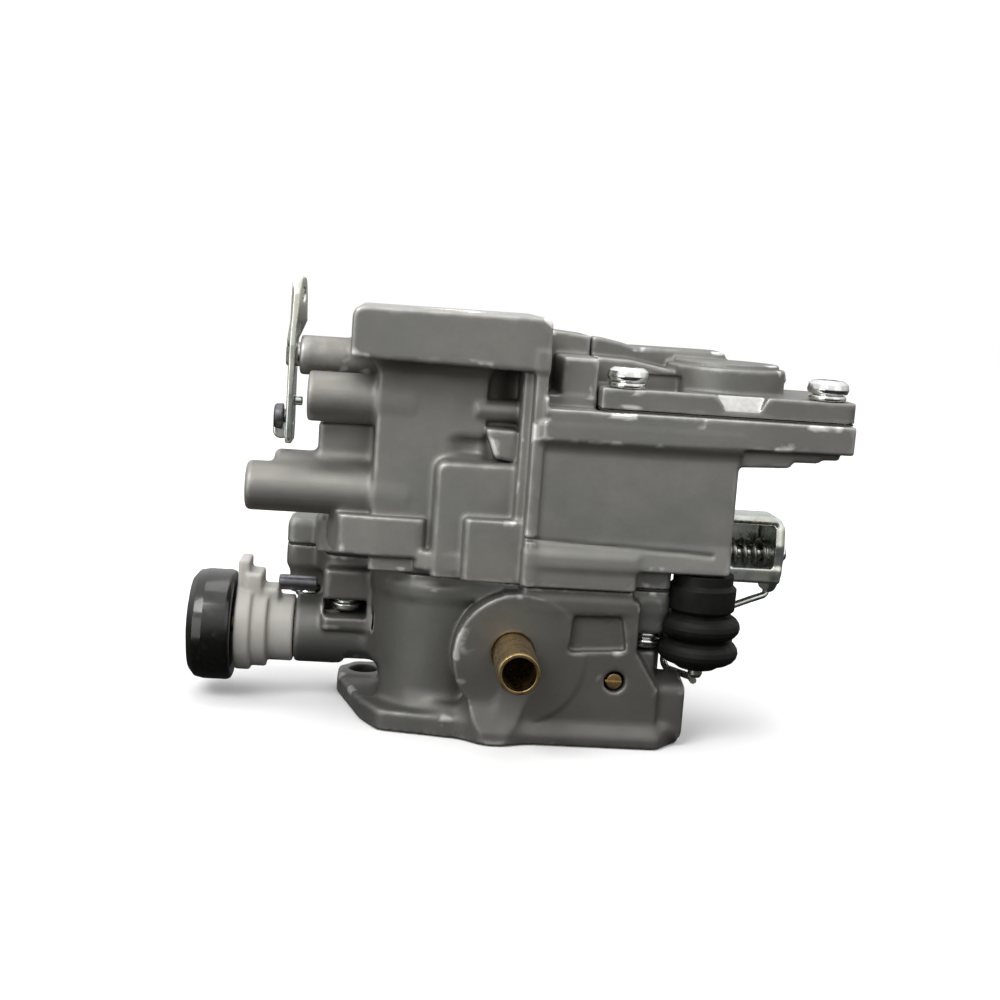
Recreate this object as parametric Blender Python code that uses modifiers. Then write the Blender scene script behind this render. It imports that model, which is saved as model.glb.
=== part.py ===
"""Single-barrel downdraft carburetor, rebuilt as separate pieces.

Axes: the mixture bore runs along Z, air comes in at the top and leaves through the engine
flange, whose bottom face centre is the origin. The throttle and choke shafts run along X.
Every length below is in millimetres and is turned into metres by MM.
"""
import math

import bmesh
import bpy
from mathutils import Matrix, Vector

MM = 0.001
SEG = 28  # facets of a large round
SEG_S = 16  # facets of a small round
WELD = 0.000001  # points closer than this are one
SHARP = math.radians(35)  # an edge turned further than this stays sharp
GAP = 0.3  # running clearance between separate pieces

# Mixture bore and castings, bottom to top
BORE_R = 11.3
PLATE_R = 11.0
WALL_R = 14.6
FLANGE_T = 4.2
JOINT_LO = 32.2  # top of the throttle body
JOINT_HI = 33.0  # bottom of the main body
COVER_JOINT = 68.6  # top of the float chamber rim
COVER_LO = 69.4
COVER_HI = 73.4
INLET_Z = 86.3  # air inlet face

# Shafts
THROTTLE_Z = 19.7
THROTTLE_R = 3.0
CHOKE_Z = 75.0
CHOKE_R = 2.5

# Float chamber and its pieces
CHAMBER = (19.5, 47.5, -19.3, 11.5)  # inner X and Y limits
CHAMBER_FLOOR = 36.0
FLOAT_HINGE = (44.6, 63.6)  # X and Z of the hinge pin, which runs along Y
NEEDLE_X = 39.0
NEEDLE_Y = 6.0
FUEL_X = 46.0  # fuel inlet pipe, which points to the rear

# Accelerator pump, its lever and its boot
PUMP = (53.2, -15.5)
PUMP_R = 3.2
PUMP_PIVOT = (6.0, 37.5)  # Y and Z of the lever pin, which runs along X

# Cold-start enrichment valve, axis along X
STARTER = (7.0, 14.9)

# Bosses on the left side, axis along X
VENT_BOSS = (-8.6, 67.3)
LOW_BOSS = (-8.6, 48.3)

# Screws: X and Y of each
BODY_SCREWS = ((-20.4, 5.4), (-29.0, 16.2), (25.0, 17.0), (42.3, -13.8))
COVER_SCREWS = ((34.2, -15.0), (75.4, -15.0), (33.4, 11.6), (69.6, 11.8))
NIPPLE = (5.0, 25.4)
FLANGE_HOLES = ((-15.9, 15.6), (17.5, 16.4), (36.0, 13.0))
LUG_Z = 23.4  # underside of the screw lugs

# Where each moving piece turns or slides, and the pieces that do
ORIGINS = {
    (0, 0, THROTTLE_Z): (
        "throttle_shaft", "throttle_plate", "throttle_plate_screw_1", "throttle_plate_screw_2",
        "throttle_lever", "throttle_nut",
    ),
    (56.0, 9.0, THROTTLE_Z + 5.0): ("throttle_cable_swivel",),
    (0, 0, CHOKE_Z): (
        "choke_shaft", "choke_plate", "choke_plate_screw_1", "choke_plate_screw_2", "choke_lever",
    ),
    (-35.0, -1.0, CHOKE_Z - 13.0): ("choke_cable_swivel",),
    (67.1, *PUMP_PIVOT): ("pump_lever", "pump_arm"),
    (*PUMP, 14.3): ("pump_rod", "pump_piston"),
    (-44.3, *STARTER): ("starter_knob", "starter_plunger"),
    (FLOAT_HINGE[0], 0, FLOAT_HINGE[1] - 1.4): ("float",),
    (NEEDLE_X, NEEDLE_Y, 62.0): ("inlet_needle",),
    (56.7, 17.2, 34.5): ("idle_stop_screw",),
    (35.7, -19.6, 13.6): ("mixture_screw",),
}

JOINT_OUTLINE = (
    (-34.0, 12.0), (-27.5, 11.5), (-24.5, 3.0), (-15.4, 2.0), (-14.2, -3.0), (-11.6, -8.8),
    (-6.6, -13.0), (4.0, -14.4), (15.2, -17.3), (15.6, -20.0), (38.3, -20.0), (38.3, -17.6),
    (46.3, -17.6), (46.3, 13.8), (30.0, 21.0), (20.0, 21.0), (14.0, 16.0), (-10.0, 16.0),
    (-16.0, 21.0), (-34.0, 21.0),
)
BASE_OUTLINE = (
    (-21.6, 10.0), (-16.0, -9.7), (-12.2, -16.5), (5.0, -20.0), (46.5, -20.0), (50.8, -15.5),
    (50.8, -10.0), (47.0, -6.0), (42.0, 16.0), (22.0, 21.5), (-18.0, 21.5), (-21.6, 17.0),
)


# ---------------------------------------------------------------- scene and materials
def fresh_scene():
    """Remove every object and set metres."""
    for ob in list(bpy.data.objects):
        bpy.data.objects.remove(ob, do_unlink=True)
    bpy.context.scene.unit_settings.system = "METRIC"


def collection(name, hidden=False):
    """A collection linked to the scene."""
    col = bpy.data.collections.new(name)
    bpy.context.scene.collection.children.link(col)
    col.hide_render = hidden
    return col


def material(name, colour, rough, metal):
    """A plain Principled material."""
    mat = bpy.data.materials.new(name)
    mat.use_nodes = True
    bsdf = mat.node_tree.nodes["Principled BSDF"]
    bsdf.inputs["Base Color"].default_value = (*colour, 1.0)
    bsdf.inputs["Roughness"].default_value = rough
    bsdf.inputs["Metallic"].default_value = metal
    return mat


def mat_cast(name):
    """Die-cast zinc alloy, matte grey."""
    return material(name, (0.42, 0.41, 0.39), 0.55, 0.85)


def mat_steel(name):
    """Zinc-plated steel."""
    return material(name, (0.66, 0.68, 0.66), 0.28, 1.0)


def mat_brass(name):
    """Turned brass."""
    return material(name, (0.62, 0.45, 0.2), 0.3, 1.0)


def mat_rubber(name):
    """Black rubber."""
    return material(name, (0.03, 0.03, 0.03), 0.7, 0.0)


def mat_gasket(name):
    """Dark gasket paper."""
    return material(name, (0.08, 0.075, 0.07), 0.85, 0.0)


def mat_nylon(name):
    """Natural white nylon."""
    return material(name, (0.82, 0.81, 0.77), 0.45, 0.0)


def mat_black_plastic(name):
    """Glossy black plastic."""
    return material(name, (0.02, 0.02, 0.02), 0.15, 0.0)


# ---------------------------------------------------------------- mesh helpers
def new_object(name, bm, col):
    """Make a closed bmesh a named object, faces out, round sides smooth."""
    bmesh.ops.recalc_face_normals(bm, faces=bm.faces)
    mesh = bpy.data.meshes.new(name)
    bm.to_mesh(mesh)
    bm.free()
    mesh.shade_smooth()
    mesh.set_sharp_from_angle(angle=SHARP)
    ob = bpy.data.objects.new(name, mesh)
    col.objects.link(ob)
    return ob


def turn(axis):
    """The rotation that lays local Z along the named world axis."""
    if axis == "X":
        return Matrix(((0, 0, 1), (1, 0, 0), (0, 1, 0))).to_4x4()
    if axis == "Y":
        return Matrix(((0, 1, 0), (0, 0, 1), (1, 0, 0))).to_4x4()
    return Matrix.Identity(4)


def on_axis(axis, at):
    """The point on a world axis line. at holds the two other coordinates in axis order."""
    return {"X": (0.0, at[0], at[1]), "Y": (at[0], 0.0, at[1]), "Z": (at[0], at[1], 0.0)}[axis]


def settle(name, data, place, col, change=None):
    """A closed mesh object of a curve, or of a mesh with the modifier that change adds."""
    draft = bpy.data.objects.new(name, data)
    draft.matrix_world = place
    col.objects.link(draft)
    if change:
        change(draft)
    graph = bpy.context.evaluated_depsgraph_get()
    mesh = bpy.data.meshes.new_from_object(draft.evaluated_get(graph))
    bm = bmesh.new()
    bm.from_mesh(mesh)
    bmesh.ops.remove_doubles(bm, verts=bm.verts, dist=WELD)
    bmesh.ops.transform(bm, matrix=place, verts=bm.verts)
    bpy.data.objects.remove(draft)
    bpy.data.meshes.remove(mesh)
    return new_object(name, bm, col)


def box(name, x, y, z, col):
    """A box between limits given as pairs."""
    bm = bmesh.new()
    bmesh.ops.create_cube(bm, size=1.0)
    size = Vector((x[1] - x[0], y[1] - y[0], z[1] - z[0])) * MM
    mid = Vector((x[0] + x[1], y[0] + y[1], z[0] + z[1])) * (MM / 2)
    bmesh.ops.transform(bm, matrix=Matrix.Translation(mid) @ Matrix.Diagonal((*size, 1.0)), verts=bm.verts)
    return new_object(name, bm, col)


def rod(name, axis, at, span, radius, col, seg=SEG_S):
    """A cylinder along a world axis. at holds the two other coordinates in axis order."""
    middle = Matrix.Translation((0, 0, (span[0] + span[1]) / 2 * MM))
    place = Matrix.Translation(Vector(on_axis(axis, at)) * MM) @ turn(axis) @ middle
    bm = bmesh.new()
    bmesh.ops.create_cone(
        bm, cap_ends=True, segments=seg, radius1=radius * MM, radius2=radius * MM,
        depth=(span[1] - span[0]) * MM, matrix=place,
    )
    return new_object(name, bm, col)


def revolve(name, profile, at, axis, col, seg=SEG_S, ring=False):
    """Turn (radius, height) points, bottom to top, about an axis. A ring profile closes on itself."""
    points = [(radius * MM, 0.0, height * MM) for radius, height in reversed(profile)]
    edges = [(i, i + 1) for i in range(len(points) - 1)]
    if ring:
        edges.append((len(points) - 1, 0))
    mesh = bpy.data.meshes.new(name)
    mesh.from_pydata(points, edges, [])

    def screw(ob):
        mod = ob.modifiers.new("turn", "SCREW")
        mod.steps = seg
        mod.render_steps = seg
        mod.use_merge_vertices = True
        mod.merge_threshold = WELD

    return settle(name, mesh, Matrix.Translation(Vector(at) * MM) @ turn(axis), col, screw)


def path(name, points, closed):
    """A curve of straight runs through points in millimetres."""
    curve = bpy.data.curves.new(name, "CURVE")
    spline = curve.splines.new("POLY")
    spline.points.add(len(points) - 1)
    for knot, point in zip(spline.points, points):
        knot.co = (*(Vector(point) * MM), 1.0)
    spline.use_cyclic_u = closed
    return curve


def prism(name, outline, axis, span, col):
    """An outline raised along an axis. The outline holds the other two coordinates."""
    flip = axis == "Y"
    curve = path(name, [(b, a, 0.0) if flip else (a, b, 0.0) for a, b in outline], True)
    curve.dimensions = "2D"
    curve.fill_mode = "BOTH"
    curve.extrude = (span[1] - span[0]) / 2 * MM
    middle = Matrix.Translation((0, 0, (span[0] + span[1]) / 2 * MM))
    return settle(name, curve, turn(axis) @ middle, col)


def sweep(name, points, radius, col):
    """A round wire along a path, with flat ends."""
    curve = path(name, points, False)
    curve.dimensions = "3D"
    curve.bevel_depth = radius * MM
    curve.bevel_resolution = 2
    curve.use_fill_caps = True
    return settle(name, curve, Matrix.Identity(4), col)


def coil(name, axis, at, span, radius, wire, turns, col, steps=14):
    """A coil spring along an axis."""
    place = Matrix.Translation(Vector(on_axis(axis, at))) @ turn(axis)
    count = int(turns * steps)
    points = []
    for i in range(count + 1):
        a = 2 * math.pi * i / steps
        h = span[0] + wire + (span[1] - span[0] - 2 * wire) * i / count
        points.append(place @ Vector((radius * math.cos(a), radius * math.sin(a), h)))
    return sweep(name, points, wire, col)


def combine(name, base, adds, cuts, mat, parts):
    """Join adds to the base and take cuts away, as live exact Booleans."""
    for label, tools, how in (("add", adds, "UNION"), ("cut", cuts, "DIFFERENCE")):
        if not tools:
            continue
        group = bpy.data.collections.new(f"{name}_{label}")
        TOOLS.children.link(group)
        for tool in tools:
            for owner in list(tool.users_collection):
                owner.objects.unlink(tool)
            group.objects.link(tool)
            tool.hide_render = True
            tool.display_type = "WIRE"
        mod = base.modifiers.new(label, "BOOLEAN")
        mod.operation = how
        mod.operand_type = "COLLECTION"
        mod.collection = group
        mod.solver = "EXACT"
    return finish(name, base, mat, parts)


def finish(name, ob, mat, parts):
    """Name the node, put it with the parts and give it its own material."""
    ob.name = name
    ob.data.name = name
    for owner in list(ob.users_collection):
        owner.objects.unlink(ob)
    parts.objects.link(ob)
    ob.data.materials.clear()
    ob.data.materials.append(mat(f"{name}_mat"))
    return ob


def set_origin(ob, at):
    """Move the origin to a point without moving the shape."""
    shift = Vector(at) * MM
    ob.data.transform(Matrix.Translation(-shift))
    ob.location = shift


# ---------------------------------------------------------------- castings
def throttle_body(t, parts):
    """Lower casting: engine flange, throttle bore, front chamber and screw lugs."""
    base = prism("base", BASE_OUTLINE, "Z", (0, FLANGE_T), t)
    adds = [
        rod("barrel", "Z", (0, 0), (1, JOINT_LO - 1), WALL_R, t, SEG),
        prism("rim", JOINT_OUTLINE, "Z", (27.5, JOINT_LO), t),
        box("chamber", (14, 44.4), (-20, -7.6), (2, 31), t),
        box("chamber_end", (43, 50.9), (-20, -14.6), (1, 14.4), t),
        rod("disc", "Y", (15.8, 17.4), (-20.4, -6), 13.5, t, SEG),
        rod("disc_foot", "Z", (11.8, -20.2), (0.3, 9), 5.2, t),
        rod("tunnel", "X", (0, THROTTLE_Z), (12, 46.9), 6.2, t),
        rod("starter_boss", "X", STARTER, (-31.2, -8), 7.3, t),
        box("lug_plate", (-29.8, -12), (2.4, 13.4), (LUG_Z, 30), t),
        box("lug_rear", (-33.4, -24), (12.4, 20.6), (LUG_Z, 30), t),
        box("lug_mid", (20.6, 29.4), (8, 20.4), (LUG_Z, 30), t),
        box("lug_right", (38.0, 44.6), (-17.5, -6), (LUG_Z, 30), t),
        box("web_rear", (14, 44), (4, 9), (3, 29), t),
    ]
    cuts = [
        rod("bore", "Z", (0, 0), (-1, 40), BORE_R, t, SEG),
        box("well", (31, 36), (-17.4, -10.0), (FLANGE_T, 40), t),
        rod("shaft_hole", "X", (0, THROTTLE_Z), (-14.4, 50), THROTTLE_R + GAP, t),
        rod("pipe_hole", "Y", (14.5, 18.6), (-25, -13.0), 4.3, t),
        rod("pipe_port", "Y", (14.5, 18.6), (-13.5, -9.2), 1.6, t),
        rod("pilot_hole", "Y", (35.7, 13.6), (-25, -10.2), 1.9, t),
        rod("starter_bore", "X", STARTER, (-40, -19.5), 4.6, t),
        rod("starter_port", "X", (STARTER[0], STARTER[1] - 3.2), (-20.5, -7), 1.2, t, 12),
        rod("nipple_hole", "X", NIPPLE, (-31, -26.5), 1.75, t, 12),
    ]
    for x, y in BODY_SCREWS:
        cuts.append(rod("screw_hole", "Z", (x, y), (20, 40), 2.3, t, 16))
        cuts.append(rod("head_room", "Z", (x, y), (LUG_Z - 3.9, LUG_Z), 4.6, t, 16))
    for x, y in FLANGE_HOLES:
        cuts.append(rod("stud_hole", "Z", (x, y), (-1, 6), 3.3, t, 16))
        cuts.append(rod("nut_room", "Z", (x, y), (FLANGE_T, 14), 5.4, t, 16))
    combine("throttle_body", base, adds, cuts, mat_cast, parts)


def main_body(t, parts):
    """Upper casting: inlet flange, venturi barrel, float chamber and shaft bosses."""
    base = box("inlet_flange", (-21.4, 17.7), (-22, 22), (76.2, INLET_Z), t)
    adds = [
        rod("barrel", "Z", (0, 0), (34, 80), WALL_R - 0.5, t, SEG),
        box("column", (-15.9, 6.4), (-13.9, 0), (36, 78), t),
        box("neck", (8, 18), (-8, 8), (36, 78), t),
        box("web", (15.0, 17.4), (-21.9, 4), (34, 80), t),
        box("bump", (-3.3, 16), (-19, -8), (44, 57), t),
        box("pad", (3.0, 16), (-18.5, -8), (34, 45), t),
        prism("rim", JOINT_OUTLINE, "Z", (JOINT_HI, 37.6), t),
        box("left_pad", (-24.4, -6), (3.2, 17), (36, 39.6), t),
        box("block", (15.6, 57.3), (-22, 14), (36.9, 64), t),
        box("block_foot", (15.6, 38.3), (-22, -6), (JOINT_HI, 39), t),
        box("plate", (17.0, 80.0), (-22.6, 16.5), (62.4, COVER_JOINT), t),
        prism("plate_slope", ((-21.9, 59.2), (14, 59.2), (16, 63), (-22.5, 62.8)), "X", (16, 58), t),
        box("shoulder", (10, 27.5), (-13, 20), (66, 80.5), t),
        box("shoulder_low", (20, 28), (-16, 16), (66, 78.6), t),
        rod("choke_boss", "X", (0, CHOKE_Z), (-32.4, -8), 4.1, t),
        rod("vent_boss", "X", VENT_BOSS, (-29.9, -8), 5.1, t),
        rod("low_boss", "X", LOW_BOSS, (-41.6, -8), 5.1, t),
        rod("air_boss", "X", (-4, 50.0), (-36.4, -8), 5.5, t),
        box("left_wall", (-27.6, -8), (-8, 8), (46, 62), t),
        box("left_foot", (-33.8, -27), (12.2, 20.8), (35, 38.2), t),
        rod("pivot_boss", "X", PUMP_PIVOT, (50, 59.2), 4.2, t),
        rod("boot_spigot", "Z", PUMP, (33.8, 38), 3.9, t),
        box("stop_lug", (52.4, 59.8), (12, 21.2), (39.4, 44.0), t),
        rod("rear_boss", "Y", (0, 58.0), (6, 26.0), 6.0, t),
    ]
    cuts = [
        rod("bore", "Z", (0, 0), (20, 100), BORE_R, t, SEG),
        box("chamber", CHAMBER[:2], CHAMBER[2:], (CHAMBER_FLOOR + 1.2, 80), t),
        box("pocket", (7.6, 13.6), (-22, -12.4), (60.6, 76.2), t),
        rod("choke_hole", "X", (0, CHOKE_Z), (-40, 14.6), CHOKE_R + GAP, t),
        rod("vent_hole", "X", VENT_BOSS, (-40, -20), 2.0, t, 12),
        rod("low_hole", "X", LOW_BOSS, (-50, -24), 2.6, t, 12),
        rod("air_hole", "X", (-4, 50.0), (-50, -22), 1.5, t, 12),
        rod("nozzle_hole", "X", (0, 55.0), (4, 22), 1.9, t, 12),
        rod("pump_bore", "Z", PUMP, (42, 80), PUMP_R, t),
        rod("pump_guide", "Z", PUMP, (20, 50), 1.8, t, 12),
        rod("pivot_hole", "X", PUMP_PIVOT, (50.4, 70), 1.85, t, 12),
        rod("stop_hole", "Z", (56.7, 17.2), (30, 50), 1.8, t, 12),
        rod("main_jet_hole", "Z", (25, -6), (35.2, 40), 2.2, t, 12),
        rod("pilot_jet_hole", "Z", (31, 6), (35.2, 40), 1.6, t, 12),
        rod("rear_hole", "Y", (0, 58.0), (16, 40), 3.2, t, 16),
        box("cover_room", (28.4, 90), (-30, 30), (COVER_JOINT, 95), t),
    ]
    for x, y in BODY_SCREWS:
        cuts.append(rod("screw_hole", "Z", (x, y), (20, 36.4), 1.9, t, 16))
    for x, y in COVER_SCREWS:
        cuts.append(rod("cover_hole", "Z", (x, y), (63.6, 90), 2.1, t, 16))
    combine("main_body", base, adds, cuts, mat_cast, parts)


def chamber_cover(t, parts):
    """Lid of the float chamber, with the round dome and the fuel inlet block."""
    base = box("lid", (29.6, 80.9), (-19, 15.5), (COVER_LO, COVER_HI), t)
    adds = [
        rod("dome", "Z", (56.8, -3), (71, 79.3), 12.2, t, SEG),
        box("inlet_block", (36.6, 58), (1.6, 14.6), (71, 81.2), t),
    ]
    cuts = [
        rod("dome_room", "Z", (56.8, -3), (60, 76.6), 9.2, t, SEG),
        rod("seat_hole", "Z", (NEEDLE_X, NEEDLE_Y), (60, 77.0), 2.9, t),
        rod("inlet_hole", "Y", (FUEL_X, 77.0), (8.0, 20), 2.6, t, 16),
        rod("gallery", "X", (8.6, 77.0), (39.2, FUEL_X), 1.4, t, 12),
        box("corner", (60.5, 72.5), (-22, -16.9), (60, 80), t),
    ]
    for x, y in COVER_SCREWS:
        cuts.append(rod("cover_hole", "Z", (x, y), (60, 90), 2.5, t, 16))
        cuts.append(rod("head_room", "Z", (x, y), (COVER_HI, 90), 4.7, t, 16))
    combine("chamber_cover", base, adds, cuts, mat_cast, parts)


def gaskets(t, parts):
    """Body gasket and cover gasket, a hair clear of both faces."""
    base = prism("sheet", JOINT_OUTLINE, "Z", (JOINT_LO + 0.05, JOINT_HI - 0.05), t)
    cuts = [rod("bore", "Z", (0, 0), (20, 50), BORE_R + 0.2, t, SEG)]
    cuts.append(box("well", (31, 36), (-17.4, -10.0), (20, 50), t))
    for x, y in BODY_SCREWS:
        cuts.append(rod("hole", "Z", (x, y), (20, 50), 2.3, t, 16))
    combine("body_gasket", base, [], cuts, mat_gasket, parts)
    base = box("sheet", (28.6, 80.4), (-20.5, 16), (COVER_JOINT + 0.05, COVER_LO - 0.05), t)
    cuts = [
        box("room", (30.8, 46.8), (-18.4, 11.2), (60, 80), t),
        rod("pump", "Z", PUMP, (60, 80), PUMP_R, t),
    ]
    for x, y in COVER_SCREWS:
        cuts.append(rod("hole", "Z", (x, y), (60, 80), 2.4, t, 16))
    combine("cover_gasket", base, [], cuts, mat_gasket, parts)


# ---------------------------------------------------------------- fasteners
def pan_screw(name, x, y, seat, up, stem, head_r, head_h, stem_r, t, parts):
    """A pan-head screw with its captive washer and a driver slot. up is +1 or -1."""
    profile = (
        (0, -stem), (stem_r, -stem), (stem_r, 0.05), (head_r, 0.05), (head_r, 0.8),
        (head_r - 0.6, 0.9), (head_r - 0.25, head_h * 0.55), (head_r - 1.0, head_h * 0.9),
        (head_r - 2.0, head_h), (0, head_h),
    )
    ob = revolve(name, profile, (0, 0, 0), "Z", t, 16)
    slot = box("slot", (-head_r - 1, head_r + 1), (-0.45, 0.45), (head_h - 1.1, head_h + 1), t)
    place = Matrix.Translation(Vector((x, y, seat)) * MM)
    if up < 0:
        place = place @ Matrix.Rotation(math.pi, 4, "X")
    for piece in (ob, slot):
        piece.data.transform(place)
    combine(name, ob, [], [slot], mat_steel, parts)


def screws(t, parts):
    """Cover screws from above and body screws from below."""
    for i, (x, y) in enumerate(COVER_SCREWS):
        pan_screw(f"cover_screw_{i + 1}", x, y, COVER_HI, 1, 9.0, 4.3, 4.3, 1.8, t, parts)
    for i, (x, y) in enumerate(BODY_SCREWS):
        pan_screw(f"body_screw_{i + 1}", x, y, LUG_Z, -1, 12.4, 3.3, 3.5, 1.6, t, parts)


# ---------------------------------------------------------------- valves in the bore
def valve(name, z, plate, t, parts):
    """A butterfly plate on a flat of its shaft, held by two small screws.

    plate is "flat" for a closed plate across the bore, "upright" for an open one.
    """
    rim = ((0, 0.1), (PLATE_R, 0.1), (PLATE_R, 1.0), (0, 1.0))
    disc = revolve(f"{name}_plate", rim, (0, 0, 0), "Z", t, SEG)
    holes = []
    small = []
    for i, x in enumerate((-5.0, 5.0)):
        holes.append(rod("hole", "Z", (x, 0), (-4, 4), 1.05, t, 12))
        profile = ((0, -1.6), (0.8, -1.6), (0.8, 1.05), (1.8, 1.05), (1.6, 1.75), (0, 1.75))
        small.append(revolve(f"{name}_plate_screw_{i + 1}", profile, (x, 0, 0), "Z", t, 12))
    spin = Matrix.Rotation(math.pi / 2, 4, "X") if plate == "upright" else Matrix.Identity(4)
    place = Matrix.Translation(Vector((0, 0, z)) * MM) @ spin
    for piece in (disc, *holes, *small):
        piece.data.transform(place)
    combine(f"{name}_plate", disc, [], holes, mat_brass, parts)
    for i, piece in enumerate(small):
        finish(f"{name}_plate_screw_{i + 1}", piece, mat_steel, parts)


def throttle_shaft(t, parts):
    """Throttle shaft with its flat and the two screw holes."""
    end_r = THROTTLE_R - 0.8
    profile = ((0, -14.0), (THROTTLE_R, -14.0), (THROTTLE_R, 55.6), (end_r, 55.6), (end_r, 64.0), (0, 64.0))
    shaft = revolve("throttle_shaft", profile, (0, 0, THROTTLE_Z), "X", t)
    cuts = [box("flat", (-BORE_R, BORE_R), (-5, 5), (THROTTLE_Z, THROTTLE_Z + 5), t)]
    for x in (-5.0, 5.0):
        cuts.append(rod("tap", "Z", (x, 0), (THROTTLE_Z - 2.0, THROTTLE_Z + 4), 1.05, t, 12))
    combine("throttle_shaft", shaft, [], cuts, mat_steel, parts)


def choke_shaft(t, parts):
    """Choke shaft with its flat and the two screw holes."""
    shaft = rod("choke_shaft", "X", (0, CHOKE_Z), (-36.2, 14.2), CHOKE_R, t)
    cuts = [box("flat", (-BORE_R, BORE_R), (-5, 0), (CHOKE_Z - 5, CHOKE_Z + 5), t)]
    for x in (-5.0, 5.0):
        cuts.append(rod("tap", "Y", (x, CHOKE_Z), (-4, 1.7), 1.05, t, 12))
    cuts.append(box("square_a", (-40, -32.9), (1.8, 5), (CHOKE_Z - 5, CHOKE_Z + 5), t))
    cuts.append(box("square_b", (-40, -32.9), (-5, -1.8), (CHOKE_Z - 5, CHOKE_Z + 5), t))
    combine("choke_shaft", shaft, [], cuts, mat_steel, parts)


def throttle_lever(t, parts):
    """Throttle lever plate, its nut, cable swivel and return spring."""
    z = THROTTLE_Z
    outline = (
        (-5.0, z - 3), (-3.4, z - 5.4), (2, z - 6), (6, z - 3.4), (13, z + 3.4), (20.2, z + 9.4),
        (21.4, z + 12.4), (19.8, z + 14.6), (16.6, z + 14.4), (9, z + 9.2), (2, z + 5.4), (-4, z + 3.6),
    )
    plate = prism("throttle_lever", outline, "X", (56.0, 57.5), t)
    adds = [
        rod("hub", "X", (0, z), (55.8, 59.4), 4.6, t),
    ]
    hole = rod("hole", "X", (0, z), (50, 70), 2.3, t)
    swivel_hole = rod("swivel_hole", "X", (9.0, z + 5.0), (50, 60), 1.9, t, 12)
    combine("throttle_lever", plate, adds, [hole, swivel_hole], mat_steel, parts)
    nut = revolve("throttle_nut", ((0, 0), (4.0, 0), (4.0, 3.2), (0, 3.2)), (59.7, 0, z), "X", t, 6)
    cut = rod("thread", "X", (0, z), (50, 70), 2.3, t)
    combine("throttle_nut", nut, [], [cut], mat_steel, parts)
    profile = ((0, -2.6), (3.0, -2.6), (3.0, -0.3), (1.6, -0.3), (1.6, 2.0), (0, 2.0))
    swivel = revolve("throttle_cable_swivel", profile, (56.0, 9.0, z + 5.0), "X", t, 16)
    slot = rod("cable_hole", "Z", (54.4, 9.0), (z - 5, z + 15), 0.8, t, 12)
    combine("throttle_cable_swivel", swivel, [], [slot], mat_brass, parts)
    spring = coil("throttle_spring", "X", (0, z), (50.3, 55.4), 3.9, 0.42, 4.0, t, 10)
    finish("throttle_spring", spring, mat_steel, parts)


def choke_lever(t, parts):
    """Choke lever plate, its cable swivel and its nut."""
    z = CHOKE_Z
    outline = (
        (-4.2, z + 2), (-3.2, z + 12.8), (-1.4, z + 16.2), (1.4, z + 16.2), (3.2, z + 12.8),
        (4.2, z + 2), (4.4, z - 7), (5.6, z - 15), (4.4, z - 18.4), (-3.4, z - 18.4), (-4.6, z - 15),
        (-4.4, z - 4),
    )
    plate = prism("choke_lever", outline, "X", (-34.6, -33.0), t)
    adds = [box("tab", (-37.8, -34.0), (4.0, 5.4), (z - 17.8, z - 11.2), t)]
    hole = box("square", (-40, -30), (-1.95, 1.95), (z - 2.65, z + 2.65), t)
    eye = rod("eye", "X", (0, z + 12.4), (-40, -30), 1.4, t, 12)
    rivet = rod("rivet_hole", "X", (-1.0, z - 13.0), (-40, -30), 1.5, t, 12)
    combine("choke_lever", plate, adds, [hole, eye, rivet], mat_steel, parts)
    profile = ((0, -2.2), (2.6, -2.2), (2.8, 0), (1.3, 0), (1.3, 0.8), (0, 0.8))
    swivel = revolve("choke_cable_swivel", profile, (-35.0, -1.0, z - 13.0), "X", t, 16)
    finish("choke_cable_swivel", swivel, mat_steel, parts)


# ---------------------------------------------------------------- float and jets
def float_pieces(t, parts):
    """Float with its arm, hinge pin, needle and seat."""
    hx, hz = FLOAT_HINGE
    body = box("float", (23.6, 39.0), (-17.6, 9.8), (42.4, 55.0), t)
    adds = [
        box("arm_riser", (37.7, 39.6), (-5.6, 3.6), (50, 61.0), t),
        box("arm", (37.4, hx), (-6, 6.8), (60.2, 61.4), t),
        rod("knuckle", "Y", (hx, hz - 1.4), (-6, 2.6), 2.4, t, 16),
    ]
    cuts = [
        rod("pin_hole", "Y", (hx, hz - 1.4), (-20, 20), 1.05, t, 12),
        box("hollow", (25.2, 37.4), (-16.0, -4.8), (30, 53.4), t),
        box("hollow_b", (25.2, 37.4), (-2.4, 8.2), (30, 53.4), t),
    ]
    combine("float", body, adds, cuts, mat_black_plastic, parts)
    pin = rod("float_pin", "Y", (hx, hz - 1.4), (-11.4, 8.6), 0.8, t, 12)
    finish("float_pin", pin, mat_steel, parts)
    profile = ((0, 62.0), (0.9, 62.0), (0.9, 63.2), (1.8, 63.2), (1.8, 69.0), (0.5, 71.6), (0, 71.6))
    needle = revolve("inlet_needle", profile, (NEEDLE_X, NEEDLE_Y, 0), "Z", t, 12)
    finish("inlet_needle", needle, mat_brass, parts)
    profile = ((2.1, 65.0), (2.8, 65.0), (2.8, 76.0), (0.8, 76.0), (0.8, 73.6), (2.1, 71.4))
    seat = revolve("needle_seat", profile, (NEEDLE_X, NEEDLE_Y, 0), "Z", t, 16, ring=True)
    finish("needle_seat", seat, mat_brass, parts)


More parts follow.
